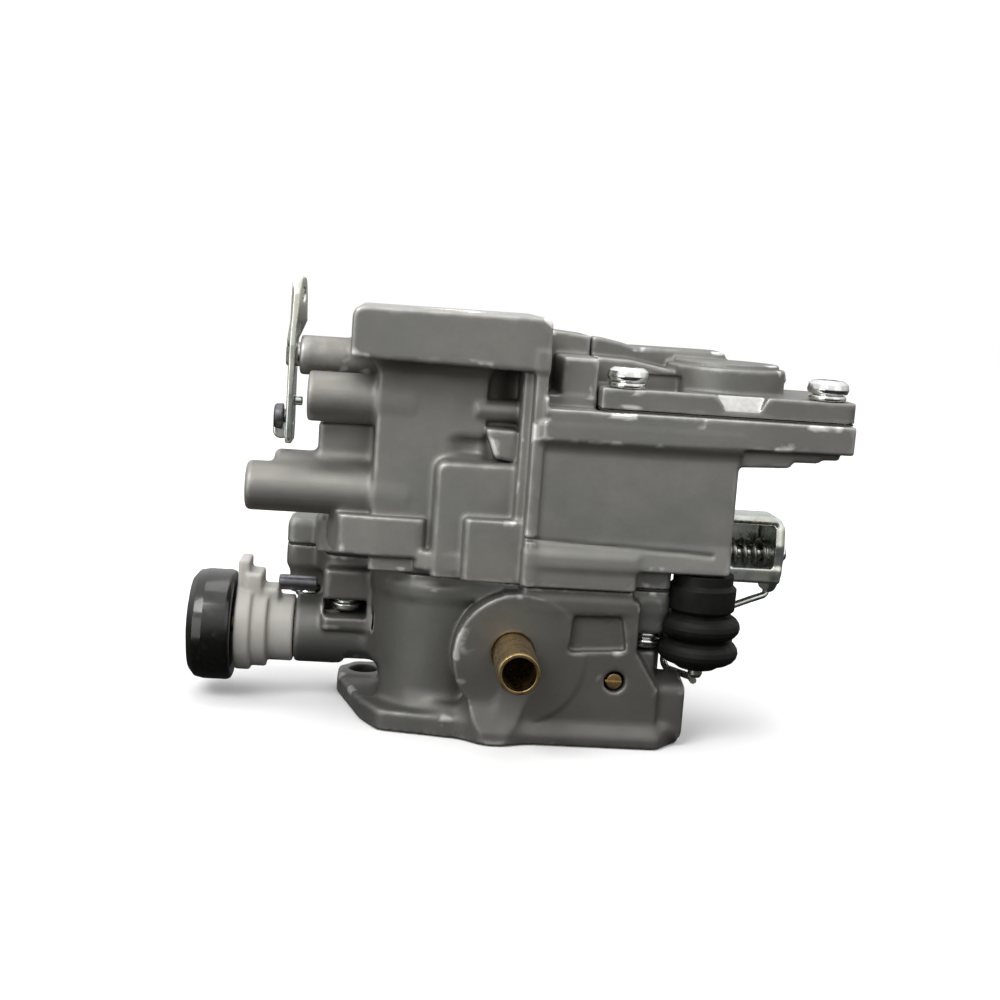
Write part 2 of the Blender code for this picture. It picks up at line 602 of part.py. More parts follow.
def hinge_bracket(t, parts):
    """Bracket under the cover that holds the float pin."""
    hx, hz = FLOAT_HINGE
    base = box("float_bracket", (hx - 2.4, hx + 2.2), (-13.0, 9.6), (66.6, 68.2), t)
    adds = [
        box("cheek_a", (hx - 2.2, hx + 2.0), (-12.8, -11.0), (hz - 4.2, 67.4), t),
        box("cheek_b", (hx - 2.2, hx + 2.0), (7.2, 9.4), (hz - 4.2, 67.4), t),
    ]
    cuts = [rod("pin_hole", "Y", (hx, hz - 1.4), (-20, 20), 1.05, t, 12)]
    combine("float_bracket", base, adds, cuts, mat_brass, parts)


def jets(t, parts):
    """Main jet, pilot jet, main nozzle and booster venturi."""
    for name, at, r, top in (("main_jet", (25, -6), 2.0, 40.6), ("pilot_jet", (31, 6), 1.4, 41.4)):
        profile = ((0.5, 35.4), (r, 35.4), (r, top), (0.5, top))
        ob = revolve(name, profile, (*at, 0), "Z", t, 16, ring=True)
        finish(name, ob, mat_brass, parts)
    profile = ((0.9, 3.0), (1.6, 3.0), (1.6, 19.0), (0.9, 19.0))
    nozzle = revolve("main_nozzle", profile, (0, 0, 55.0), "X", t, 12, ring=True)
    finish("main_nozzle", nozzle, mat_brass, parts)
    profile = ((4.4, 49), (5.2, 49), (5.4, 55), (5.2, 61), (4.4, 61), (3.6, 55))
    ring = revolve("booster_venturi", profile, (0, 0, 0), "Z", t, 24, ring=True)
    arm = box("arm", (-11.0, -4.8), (-0.8, 0.8), (51, 59), t)
    hole = rod("hole", "X", (0, 55.0), (2, 8), 1.9, t, 12)
    combine("booster_venturi", ring, [arm], [hole], mat_cast, parts)


# ---------------------------------------------------------------- accelerator pump
def pump(t, parts):
    """Pump rod, piston, return spring and rubber boot."""
    x, y = PUMP
    profile = ((0, 14.3), (1.0, 14.3), (1.5, 15.0), (1.5, 45.0), (0, 45.0))
    stem = revolve("pump_rod", profile, (x, y, 0), "Z", t, 12)
    finish("pump_rod", stem, mat_steel, parts)
    profile = ((0, 45.3), (2.9, 45.3), (2.9, 48.6), (1.6, 48.6), (1.6, 46.8), (0, 46.8))
    cup = revolve("pump_piston", profile, (x, y, 0), "Z", t, 16)
    finish("pump_piston", cup, mat_rubber, parts)
    spring = coil("pump_spring", "Z", (x, y), (48.8, 67.6), 2.3, 0.3, 6.0, t, 10)
    finish("pump_spring", spring, mat_steel, parts)
    outer = (
        (1.8, 16.4), (3.6, 16.4), (4.6, 17.2), (7.9, 19.6), (8.2, 20.4), (7.9, 21.2), (5.0, 23.0),
        (7.9, 24.8), (8.2, 25.7), (7.9, 26.6), (5.4, 28.4), (5.8, 29.4), (5.8, 36.5),
    )
    inner = (
        (4.2, 36.5), (4.2, 28.8), (6.6, 26.0), (6.6, 25.4), (3.8, 23.4), (3.8, 22.6), (6.6, 20.8),
        (6.6, 20.0), (3.6, 18.4), (1.8, 17.6),
    )
    boot = revolve("pump_boot", outer + inner, (x, y, 0), "Z", t, 24, ring=True)
    finish("pump_boot", boot, mat_rubber, parts)


def pump_lever(t, parts):
    """U-shaped pump lever, its pivot pin, clip, torsion spring and pushing arm."""
    y, z = PUMP_PIVOT
    side = (
        (y - 8.4, z + 3), (y - 7.4, z + 7.6), (y - 4, z + 8.4), (y + 7, z + 8.4), (y + 7, z - 2),
        (y + 3, z - 8.2), (y - 4, z - 8.2), (y - 8, z - 4),
    )
    cheek = prism("pump_lever", side, "X", (72.4, 73.8), t)
    adds = [
        prism("cheek_in", side, "X", (60.4, 61.8), t),
        box("top_web", (60.6, 73.6), (y - 7.0, y + 6.6), (z + 7.0, z + 8.3), t),
        rod("front_roll", "X", (y - 7.6, z - 3.4), (60.6, 73.6), 1.2, t, 12),
    ]
    hole = rod("pin_hole", "X", (y, z), (50, 80), 1.9, t, 12)
    combine("pump_lever", cheek, adds, [hole], mat_steel, parts)
    pin = rod("pump_lever_pin", "X", (y, z), (50.8, 76.0), 1.6, t, 16)
    finish("pump_lever_pin", pin, mat_steel, parts)
    profile = ((1.75, 74.1), (3.4, 74.1), (3.4, 74.9), (1.75, 74.9))
    clip = revolve("pump_lever_clip", profile, (0, y, z), "X", t, 16, ring=True)
    finish("pump_lever_clip", clip, mat_steel, parts)
    spring = coil("pump_lever_spring", "X", (y, z), (62.4, 71.8), 2.75, 0.42, 5.0, t, 10)
    finish("pump_lever_spring", spring, mat_steel, parts)
    route = (
        (71.6, 3.4, z - 8.9), (68.0, 2.2, 27.6), (61.0, -2.6, 26.2), (49.4, -3.4, 26.2),
        (48.6, -4.2, 25.0), (48.6, -4.5, 14.4), (49.2, -5.4, 13.2), (53.2, -11.5, 13.2),
        (53.2, -17.3, 13.2),
    )
    arm = sweep("pump_arm", route, 0.75, t)
    finish("pump_arm", arm, mat_steel, parts)


# ---------------------------------------------------------------- adjusters and pipes
def adjusters(t, parts):
    """Idle stop screw with its spring, and the mixture screw with its spring."""
    profile = ((0, 34.5), (1.5, 34.5), (1.5, 48.6), (3.0, 48.6), (3.0, 51.4), (0, 51.4))
    stop = revolve("idle_stop_screw", profile, (56.7, 17.2, 0), "Z", t, 16)
    slot = box("slot", (50, 62), (16.7, 17.7), (50.4, 53), t)
    combine("idle_stop_screw", stop, [], [slot], mat_steel, parts)
    spring = coil("idle_stop_spring", "Z", (56.7, 17.2), (44.2, 48.4), 2.2, 0.35, 3.0, t, 10)
    finish("idle_stop_spring", spring, mat_steel, parts)
    profile = ((0, -10.6), (0.9, -12.0), (0.9, -16.6), (1.6, -16.6), (1.6, -19.6), (0, -19.6))
    mix = revolve("mixture_screw", profile, (35.7, 0, 13.6), "Y", t, 16)
    slot = box("slot", (30, 40), (-21, -18.9), (13.3, 13.9), t)
    combine("mixture_screw", mix, [], [slot], mat_brass, parts)


def pipes(t, parts):
    """Brass vacuum pipe, vent nipple and fuel inlet pipe."""
    profile = ((3.4, -36.2), (4.1, -36.2), (4.2, -35.6), (4.2, -13.4), (3.4, -13.4))
    pipe = revolve("vacuum_pipe", profile, (14.5, 0, 18.6), "Y", t, 24, ring=True)
    finish("vacuum_pipe", pipe, mat_brass, parts)
    profile = ((0.8, -35.0), (1.6, -35.0), (1.6, -26.9), (0.8, -26.9))
    nipple = revolve("vent_nipple", profile, (0, *NIPPLE), "X", t, 12, ring=True)
    finish("vent_nipple", nipple, mat_steel, parts)
    profile = (
        (1.7, 9.4), (2.45, 9.4), (2.45, 15.0), (3.4, 15.2), (3.4, 16.4), (2.6, 16.6), (2.6, 24.6),
        (3.1, 25.2), (2.6, 26.6), (1.7, 26.6),
    )
    fuel = revolve("fuel_inlet_pipe", profile, (FUEL_X, 0, 77.0), "Y", t, 16, ring=True)
    finish("fuel_inlet_pipe", fuel, mat_steel, parts)


def starter(t, parts):
    """Cold-start enrichment valve: nylon housing, pull knob, plunger and spring."""
    y, z = STARTER
    profile = (
        (0, -43.8), (9.6, -43.8), (9.6, -40.6), (8.6, -40.2), (8.6, -37.2), (7.2, -36.8),
        (7.2, -31.4), (4.3, -31.4), (4.3, -21.4), (0, -21.4),
    )
    body = revolve("starter_housing", profile, (0, y, z), "X", t, 24)
    tab = box("tab", (-43.7, -41.4), (y - 4, y + 4), (z + 4, z + 15.4), t)
    cuts = [
        rod("stem_hole", "X", (y, z), (-50, -20), 1.9, t, 16),
        rod("spring_room", "X", (y, z), (-40.6, -20), 3.4, t, 16),
    ]
    combine("starter_housing", body, [tab], cuts, mat_nylon, parts)
    profile = (
        (0, -54.1), (8.0, -54.0), (10.4, -53.3), (11.7, -52.0), (12.0, -50.2), (12.0, -45.4), (11.6, -44.5),
        (10.6, -44.3), (0, -44.3),
    )
    knob = revolve("starter_knob", profile, (0, y, z), "X", t, SEG)
    hole = rod("stem_room", "X", (y, z), (-49.4, -40), 1.9, t, 16)
    combine("starter_knob", knob, [], [hole], mat_black_plastic, parts)
    profile = (
        (0, -49.2), (1.6, -49.2), (1.6, -25.4), (3.1, -25.4), (3.1, -23.8), (1.6, -23.8),
        (1.6, -20.2), (0, -19.8),
    )
    stem = revolve("starter_plunger", profile, (0, y, z), "X", t, 16)
    finish("starter_plunger", stem, mat_brass, parts)
    spring = coil("starter_spring", "X", (y, z), (-40.4, -25.7), 2.6, 0.35, 5.0, t, 10)
    finish("starter_spring", spring, mat_steel, parts)


# ---------------------------------------------------------------- build
fresh_scene()
PARTS = collection("carburetor")
TOOLS = collection("cutters", hidden=True)
throttle_body(TOOLS, PARTS)
main_body(TOOLS, PARTS)
chamber_cover(TOOLS, PARTS)
gaskets(TOOLS, PARTS)
screws(TOOLS, PARTS)
valve("throttle", THROTTLE_Z, "flat", TOOLS, PARTS)
valve("choke", CHOKE_Z, "upright", TOOLS, PARTS)
throttle_shaft(TOOLS, PARTS)
choke_shaft(TOOLS, PARTS)
throttle_lever(TOOLS, PARTS)
choke_lever(TOOLS, PARTS)
float_pieces(TOOLS, PARTS)
hinge_bracket(TOOLS, PARTS)
jets(TOOLS, PARTS)
pump(TOOLS, PARTS)
pump_lever(TOOLS, PARTS)
adjusters(TOOLS, PARTS)
pipes(TOOLS, PARTS)
starter(TOOLS, PARTS)

for at, moving in ORIGINS.items():
    for node in moving:
        set_origin(bpy.data.objects[node], at)
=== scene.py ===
"""Looks of the carburetor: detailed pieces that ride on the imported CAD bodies.

Lengths are in millimetres in the builders below and become metres when a mesh is made.
A casting is modelled as a distance field on a grid, joined and cut with small fillets the
way a die-cast part has them, then meshed, thinned and given its machined faces.
"""
import math

import bmesh
import bpy
import numpy as np
from mathutils import Matrix, Vector


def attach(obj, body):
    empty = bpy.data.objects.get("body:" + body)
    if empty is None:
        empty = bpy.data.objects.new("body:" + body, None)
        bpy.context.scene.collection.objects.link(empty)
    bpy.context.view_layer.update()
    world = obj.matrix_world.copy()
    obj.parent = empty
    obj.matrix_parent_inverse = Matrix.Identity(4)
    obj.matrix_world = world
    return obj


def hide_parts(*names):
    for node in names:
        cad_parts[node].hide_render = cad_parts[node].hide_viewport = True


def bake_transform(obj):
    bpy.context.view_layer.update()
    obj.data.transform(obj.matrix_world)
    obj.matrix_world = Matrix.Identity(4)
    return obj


MM = 0.001
CAST_STEP = 0.42  # grid step of the castings
SMALL_STEP = 0.2  # grid step of the small formed pieces
FAR = 50.0  # distance of the empty grid
BORE_R = 11.3
JOINT_LO = 32.4  # the castings' joint, below and above its gasket
JOINT_HI = 32.8
CHAMBER_RIM = 68.8  # the cover's joint, below and above its gasket
COVER_LO = 69.2
COVER_HI = 73.4
INLET_Z = 86.3
CHOKE_Z = 75.0
THROTTLE_Z = 19.7
STARTER = (7.0, 14.9)
PUMP = (53.2, -15.5)
PIVOT = (6.0, 37.5)
VENT_BOSS = (-8.6, 67.3)
LOW_BOSS = (-8.6, 48.3)
BODY_SCREWS = ((-20.4, 5.4), (-29.0, 16.2), (25.0, 17.0), (42.3, -13.8))
COVER_SCREWS = ((34.2, -15.0), (75.4, -15.0), (33.4, 11.6), (69.6, 11.8))
NIPPLE = (5.0, 25.4)
DOME = (56.8, -3.0)
MIDDLE_BOSS = (-4.0, 50.0)
REAR_BOSS = (0.0, 58.0)
IDLE_SCREW = (56.7, 17.2)
MIXTURE = (35.7, 13.6)
FUEL_PIPE = (46.0, 77.0)
FLANGE_HOLES = ((-15.9, 15.6), (17.5, 16.4), (36.0, 13.0))
LUG_Z = 23.4  # where the heads of the body screws sit
JOINT_OUTLINE = (
    (-34.0, 12.0), (-27.5, 11.5), (-24.5, 3.0), (-15.4, 2.0), (-14.2, -3.0), (-11.6, -8.8),
    (-6.6, -13.0), (4.0, -14.4), (15.2, -17.3), (15.6, -20.0), (38.3, -20.0), (38.3, -17.6),
    (46.3, -17.6), (46.3, 13.8), (30.0, 21.0), (20.0, 21.0), (14.0, 16.0), (-10.0, 16.0),
    (-16.0, 21.0), (-34.0, 21.0),
)
BASE_OUTLINE = (
    (-21.6, 10.0), (-16.0, -9.7), (-12.2, -16.5), (5.0, -20.0), (46.5, -20.0), (50.8, -15.5),
    (50.8, -10.0), (47.0, -6.0), (42.0, 16.0), (22.0, 21.5), (-18.0, 21.5), (-21.6, 17.0),
)


# ---------------------------------------------------------------- outlines
def fillet(points, radius, steps=5, closed=True):
    """Round the corners of an outline. radius is one number or one for each corner."""
    count = len(points)
    radii = radius if isinstance(radius, (list, tuple)) else [radius] * count
    out = []
    for i, p in enumerate(points):
        here = Vector(p)
        if radii[i] <= 0 or (not closed and i in (0, count - 1)):
            out.append(tuple(here))
            continue
        a = Vector(points[i - 1]) - here
        b = Vector(points[(i + 1) % count]) - here
        half = a.angle(b) / 2
        if half > 1.55:
            out.append(tuple(here))
            continue
        reach = min(radii[i] / math.tan(half), 0.48 * a.length, 0.48 * b.length)
        start = here + a.normalized() * reach
        end = here + b.normalized() * reach
        for k in range(steps + 1):
            t = k / steps
            out.append(tuple(start * (1 - t) ** 2 + here * (2 * t * (1 - t)) + end * t ** 2))
    return out


def rect(a0, a1, b0, b1, rc=0.0):
    """Rectangle with round corners: its reach and its distance."""
    ca, cb = (a0 + a1) / 2, (b0 + b1) / 2
    ha, hb = (a1 - a0) / 2 - rc, (b1 - b0) / 2 - rc

    def distance(a, b):
        qa, qb = np.abs(a - ca) - ha, np.abs(b - cb) - hb
        outside = np.hypot(np.maximum(qa, 0), np.maximum(qb, 0))
        return outside + np.minimum(np.maximum(qa, qb), 0) - rc

    return (a0, a1, b0, b1), distance


def disc(ca, cb, radius):
    """Circle: its reach and its distance."""
    reach = (ca - radius, ca + radius, cb - radius, cb + radius)
    return reach, lambda a, b: np.hypot(a - ca, b - cb) - radius


def outline(points, radius=0.0):
    """Polygon with rounded corners: its reach and its distance."""
    pts = fillet(points, radius)
    xs, ys = [p[0] for p in pts], [p[1] for p in pts]

    def distance(a, b):
        best, inside = None, None
        for (x0, y0), (x1, y1) in zip(pts, pts[1:] + pts[:1]):
            ex, ey = x1 - x0, y1 - y0
            size = ex * ex + ey * ey
            if size < 1e-12:
                continue
            wx, wy = a - x0, b - y0
            t = np.clip((wx * ex + wy * ey) / size, 0, 1)
            near = (wx - ex * t) ** 2 + (wy - ey * t) ** 2
            best = near if best is None else np.minimum(best, near)
            if abs(ey) > 1e-9:
                hit = ((y0 > b) != (y1 > b)) & (a < ex * (b - y0) / ey + x0)
                inside = hit if inside is None else inside ^ hit
        return np.where(inside, -np.sqrt(best), np.sqrt(best))

    return (min(xs), max(xs), min(ys), max(ys)), distance


# ---------------------------------------------------------------- solids on a grid
def slab(axis, flat, h0, h1, r=0.6):
    """An outline raised along an axis, with its edges rounded by r."""
    (a0, a1, b0, b1), flat_distance = flat
    order = {"X": (2, 0, 1), "Y": (0, 2, 1), "Z": (0, 1, 2)}[axis]
    limits = ((a0, a1), (b0, b1), (h0, h1))
    lo = [limits[i][0] for i in order]
    hi = [limits[i][1] for i in order]

    def distance(x, y, z):
        a, b, h = {"X": (y, z, x), "Y": (x, z, y), "Z": (x, y, z)}[axis]
        w = flat_distance(a, b) + r
        v = np.abs(h - (h0 + h1) / 2) - (h1 - h0) / 2 + r
        return np.minimum(np.maximum(w, v), 0) + np.hypot(np.maximum(w, 0), np.maximum(v, 0)) - r

    return lo, hi, distance


def block(x, y, z, r=0.6, rc=None):
    """A box with rounded edges. rc rounds its upright corners."""
    return slab("Z", rect(*x, *y, r if rc is None else rc), *z, r)


def rod(axis, at, span, radius, r=0.5):
    """A cylinder along an axis with rounded ends."""
    return slab(axis, disc(*at, radius), *span, r)


def both(one, two):
    """The part that two shapes share."""
    return one[0], one[1], lambda x, y, z: np.maximum(one[2](x, y, z), two[2](x, y, z))


class Casting:
    """A solid kept as its distance on a grid."""

    def __init__(self, lo, hi, step):
        self.step = step
        self.axes = [np.arange(a - 3 * step, b + 3 * step, step, dtype=np.float32) for a, b in zip(lo, hi)]
        self.field = np.full([len(a) for a in self.axes], FAR, np.float32)

    def _window(self, shape, pad):
        lo, hi, distance = shape
        cuts, parts = [], []
        for k, axis in enumerate(self.axes):
            i0 = int(np.searchsorted(axis, lo[k] - pad))
            i1 = max(int(np.searchsorted(axis, hi[k] + pad)), i0 + 1)
            cuts.append(slice(i0, i1))
            shape_k = [1, 1, 1]
            shape_k[k] = -1
            parts.append(axis[i0:i1].reshape(shape_k))
        return tuple(cuts), distance(*parts)

    def add(self, shape, k=1.2):
        """Join a shape, with a fillet of about k."""
        at, d = self._window(shape, k + 3.0)
        f = self.field[at]
        h = np.maximum(k - np.abs(f - d), 0)
        self.field[at] = np.minimum(f, d) - h * h / (4 * k)

    def cut(self, shape, k=0.4):
        """Take a shape away, with the edge rounded by about k."""
        at, d = self._window(shape, k + 1.0)
        f = self.field[at]
        h = np.maximum(k - np.abs(f + d), 0)
        self.field[at] = np.maximum(f, -d) + h * h / (4 * k)

    def drill(self, axis, at, span, radius, r=0.1, k=0.4):
        """Cut a round hole."""
        self.cut(rod(axis, at, span, radius, r), k)

    def keep(self, axis, low=None, high=None):
        """Face the solid off square to an axis."""
        shape = [1, 1, 1]
        shape[axis] = -1
        c = self.axes[axis].reshape(shape)
        if low is not None:
            self.field = np.maximum(self.field, low - c)
        if high is not None:
            self.field = np.maximum(self.field, c - high)

    def surface(self):
        """Corner points and four-sided faces of the zero surface."""
        f = self.field
        inside = f < 0
        size = [n - 1 for n in f.shape]
        count = np.zeros(size, np.uint8)
        corners = [(i, j, k) for i in (0, 1) for j in (0, 1) for k in (0, 1)]
        for i, j, k in corners:
            count += inside[i:size[0] + i, j:size[1] + j, k:size[2] + k]
        cells = np.argwhere((count > 0) & (count < 8))
        index = np.full(size, -1, np.int32)
        index[tuple(cells.T)] = np.arange(len(cells))
        place = np.zeros((len(cells), 3), np.float32)
        hits = np.zeros(len(cells), np.float32)
        for c0 in corners:
            for k in range(3):
                if c0[k]:
                    continue
                c1 = list(c0)
                c1[k] = 1
                f0 = f[tuple((cells + c0).T)]
                f1 = f[tuple((cells + c1).T)]
                cross = (f0 < 0) != (f1 < 0)
                t = np.where(cross, f0 / np.where(cross, f0 - f1, 1), 0)
                point = np.array(c0, np.float32) + t[:, None] * (np.array(c1) - c0)
                place += cross[:, None] * point
                hits += cross
        place = (place / hits[:, None] + cells) * self.step + [a[0] for a in self.axes]
        faces = []
        rings = (  # the four cells round a grid edge, for an edge along X, Y and Z
            ((0, -1, -1), (0, 0, -1), (0, 0, 0), (0, -1, 0)),
            ((-1, 0, -1), (-1, 0, 0), (0, 0, 0), (0, 0, -1)),
            ((-1, -1, 0), (0, -1, 0), (0, 0, 0), (-1, 0, 0)),
        )
        for axis, ring in enumerate(rings):
            a = [slice(1, -1)] * 3
            b = list(a)
            a[axis], b[axis] = slice(0, -1), slice(1, None)
            first, second = inside[tuple(a)], inside[tuple(b)]
            for outward in (True, False):
                cells = np.argwhere((first & ~second) if outward else (~first & second))
                cells += [0 if k == axis else 1 for k in range(3)]
                quad = np.stack([index[tuple((cells + o).T)] for o in ring], 1)
                faces.append(quad if outward else quad[:, ::-1])
        return place.astype(np.float32), np.concatenate(faces)

    def blurred(self, radius):
        """Share of material within about radius of each grid point."""
        part = np.clip(0.5 - self.field / self.step, 0, 1).astype(np.float32)
        n = max(1, round(radius / self.step / 1.5))
        for axis in (0, 1, 2):
            for _ in range(2):
                pad = [(0, 0)] * 3
                pad[axis] = (n + 1, n)
                total = np.cumsum(np.pad(part, pad, mode="edge"), axis=axis, dtype=np.float32)
                lo, hi = [slice(None)] * 3, [slice(None)] * 3
                lo[axis], hi[axis] = slice(0, -(2 * n + 1)), slice(2 * n + 1, None)
                part = (total[tuple(hi)] - total[tuple(lo)]) / (2 * n + 1)
        return part

    def sample(self, values, points):
        """Values of a grid at points, between grid points."""
        t = (points - [a[0] for a in self.axes]) / self.step
        i = np.clip(t.astype(int), 0, np.array(values.shape) - 2)
        t = t - i
        out = np.zeros(len(points), np.float32)
        for c in ((a, b, d) for a in (0, 1) for b in (0, 1) for d in (0, 1)):
            w = np.prod(np.where(c, t, 1 - t), axis=1)
            out += w * values[tuple((i + c).T)]
        return out


# ---------------------------------------------------------------- meshes
def link(ob):
    """Put an object in the scene."""
    bpy.context.scene.collection.objects.link(ob)
    return ob


def bake(ob):
    """Apply an object's modifiers to its mesh."""
    bpy.context.view_layer.update()
    graph = bpy.context.evaluated_depsgraph_get()
    mesh = bpy.data.meshes.new_from_object(ob.evaluated_get(graph))
    old = ob.data
    ob.modifiers.clear()
    if ob.type == "MESH":
        ob.data = mesh
        bpy.data.meshes.remove(old)
        mesh.name = ob.name
        return ob
    name = ob.name
    bpy.data.objects.remove(ob)
    mesh.name = name
    return link(bpy.data.objects.new(name, mesh))


def cast_mesh(name, solid, share):
    """Mesh a casting, thin it to a share of its faces and note its edges and hollows."""
    points, faces = solid.surface()
    mesh = bpy.data.meshes.new(name)
    mesh.vertices.add(len(points))
    mesh.vertices.foreach_set("co", (points * MM).ravel())
    mesh.loops.add(faces.size)
    mesh.loops.foreach_set("vertex_index", faces.astype(np.int32).ravel())
    mesh.polygons.add(len(faces))
    mesh.polygons.foreach_set("loop_start", np.arange(0, faces.size, 4, dtype=np.int32))
    mesh.update(calc_edges=True)
    mesh.validate()
    ob = link(bpy.data.objects.new(name, mesh))
    thin = ob.modifiers.new("thin", "DECIMATE")
    thin.ratio = share
    bake(ob)
    ob.data.polygons.foreach_set("use_smooth", [True] * len(ob.data.polygons))
    even = ob.modifiers.new("even", "WEIGHTED_NORMAL")
    even.weight = 80
    bake(ob)
    mesh = ob.data
    co = np.empty(len(mesh.vertices) * 3, np.float32)
    mesh.vertices.foreach_get("co", co)
    co = co.reshape(-1, 3) / MM
    edge = (0.5 - solid.sample(solid.blurred(1.1), co)) * 3.2
    # hollow: how much material surrounds a point; the cast skin paints shade from it
    hollow = (solid.sample(solid.blurred(5.0), co) - 0.5) * 2.6
    for key, values in (("edge", edge), ("hollow", hollow)):
        mesh.attributes.new(key, "FLOAT", "POINT").data.foreach_set("value", np.clip(values, -1, 1))
    return ob


def finish_faces(ob, materials, tests):
    """Give faces the second material wherever a test on their middle and normal holds."""
    mesh = ob.data
    mesh.materials.clear()
    for mat in materials:
        mesh.materials.append(mat)
    n = len(mesh.polygons)
    mid, normal = np.empty(n * 3, np.float32), np.empty(n * 3, np.float32)
    mesh.polygons.foreach_get("center", mid)
    mesh.polygons.foreach_get("normal", normal)
    mid, normal = mid.reshape(-1, 3) / MM, normal.reshape(-1, 3)
    pick = np.zeros(n, bool)
    for test in tests:
        pick |= test(mid, normal)
    mesh.polygons.foreach_set("material_index", pick.astype(np.int32))
    return ob


def facing(axis, sign, level, slack=0.12):
    """Test for the faces of one machined plane."""
    return lambda mid, normal: (np.abs(mid[:, axis] - level) < slack) & (normal[:, axis] * sign > 0.9)


def bored(radius):
    """Test for the faces inside the main bore."""
    return lambda mid, normal: np.hypot(mid[:, 0], mid[:, 1]) < radius


def cast(name, solid, share, materials, tests):
    """Make a casting's mesh, machine its faces and stand it for its CAD piece."""
    ob = finish_faces(cast_mesh(f"look_{name}", solid, share), materials, tests)
    place(ob, "castings", name, "cast_alloy")


def formed(name, solid, share, mat, body, slot):
    """Make a small formed piece of one material and stand it for its CAD piece."""
    ob = cast_mesh(f"look_{name}", solid, share)
    ob.data.materials.append(mat)
    place(ob, body, name, slot)


def smooth(ob, angle=32.0):
    """Shade smooth and keep edges sharper than the angle."""
    ob.data.shade_smooth()
    ob.data.set_sharp_from_angle(angle=math.radians(angle))
    return ob


def turn(axis):
    """The rotation that lays local Z along a world axis."""
    if axis == "X":
        return Matrix(((0, 0, 1), (1, 0, 0), (0, 1, 0))).to_4x4()
    if axis == "Y":
        return Matrix(((0, 1, 0), (0, 0, 1), (1, 0, 0))).to_4x4()
    return Matrix.Identity(4)


def new_mesh(name, bm, mat, angle=32.0):
    """Close a bmesh into an object with a material."""
    bmesh.ops.recalc_face_normals(bm, faces=bm.faces)
    mesh = bpy.data.meshes.new(name)
    bm.to_mesh(mesh)
    bm.free()
    mesh.materials.append(mat)
    return smooth(link(bpy.data.objects.new(name, mesh)), angle)


def revolve(name, profile, at, axis, mat, round_by=0.0, seg=56, ring=False, angle=32.0):
    """Turn a profile of (radius, height) about an axis, with its corners rounded."""
    points = fillet(profile, round_by, 4, closed=ring) if round_by else list(profile)
    bm = bmesh.new()
    rows = []
    for radius, height in points:
        count = 1 if radius < 1e-6 else seg
        angles = [2 * math.pi * i / seg for i in range(count)]
        ring_points = [(radius * math.cos(a), radius * math.sin(a), height) for a in angles]
        rows.append([bm.verts.new(Vector(p) * MM) for p in ring_points])
    pairs = list(zip(rows, rows[1:]))
    if ring:
        pairs.append((rows[-1], rows[0]))
    for low, high in pairs:
        for i in range(seg):
            j = (i + 1) % seg
            if len(low) == 1 and len(high) == 1:
                continue
            if len(low) == 1:
                bm.faces.new((low[0], high[i], high[j]))
            elif len(high) == 1:
                bm.faces.new((low[i], low[j], high[0]))
            else:
                bm.faces.new((low[i], low[j], high[j], high[i]))
    bmesh.ops.transform(bm, matrix=Matrix.Translation(Vector(at) * MM) @ turn(axis), verts=bm.verts)
    return new_mesh(name, bm, mat, angle)


def plate(name, loops, axis, span, mat, bevel=0.15):
    """A flat sheet with holes and softened edges. The first loop is the outer edge."""
    curve = bpy.data.curves.new(name, "CURVE")
    curve.dimensions = "2D"
    curve.fill_mode = "BOTH"
    curve.extrude = ((span[1] - span[0]) / 2 - bevel) * MM
    curve.bevel_depth = bevel * MM
    curve.bevel_resolution = 1
    curve.offset = -bevel * MM
    for loop in loops:
        spline = curve.splines.new("POLY")
        spline.points.add(len(loop) - 1)
        for point, (a, b) in zip(spline.points, loop):
            point.co = (a * MM, b * MM, 0, 1)
        spline.use_cyclic_u = True
    ob = bake(link(bpy.data.objects.new(name, curve)))
    place = {"X": turn("X"), "Z": Matrix.Identity(4),
             "Y": Matrix(((1, 0, 0), (0, 0, -1), (0, 1, 0))).to_4x4()}[axis]
    middle = (span[0] + span[1]) / 2 * MM
    shift = {"X": (middle, 0, 0), "Y": (0, middle, 0), "Z": (0, 0, middle)}[axis]
    ob.data.transform(Matrix.Translation(shift) @ place)
    bm = bmesh.new()
    bm.from_mesh(ob.data)
    bmesh.ops.remove_doubles(bm, verts=bm.verts, dist=1e-6)
    bmesh.ops.recalc_face_normals(bm, faces=bm.faces)
    bm.to_mesh(ob.data)
    bm.free()
    ob.data.materials.clear()
    ob.data.materials.append(mat)
    return smooth(ob)


def ring_loop(ca, cb, radius, count=24):
    """Points of a round hole."""
    angles = [2 * math.pi * i / count for i in range(count)]
    return [(ca + radius * math.cos(a), cb + radius * math.sin(a)) for a in angles]


def wire(name, points, radius, mat, sides=6, rounds=0.0):
    """A round wire along a path."""
    curve = bpy.data.curves.new(name, "CURVE")
    curve.dimensions = "3D"
    curve.bevel_depth = radius * MM
    curve.bevel_resolution = sides // 2
    curve.use_fill_caps = True
    path = fillet(points, rounds, 6, closed=False) if rounds else points
    spline = curve.splines.new("POLY")
    spline.points.add(len(path) - 1)
    for point, p in zip(spline.points, path):
        point.co = (*(Vector(p) * MM), 1)
    ob = bake(link(bpy.data.objects.new(name, curve)))
    ob.data.materials.clear()
    ob.data.materials.append(mat)
    return smooth(ob, 50)


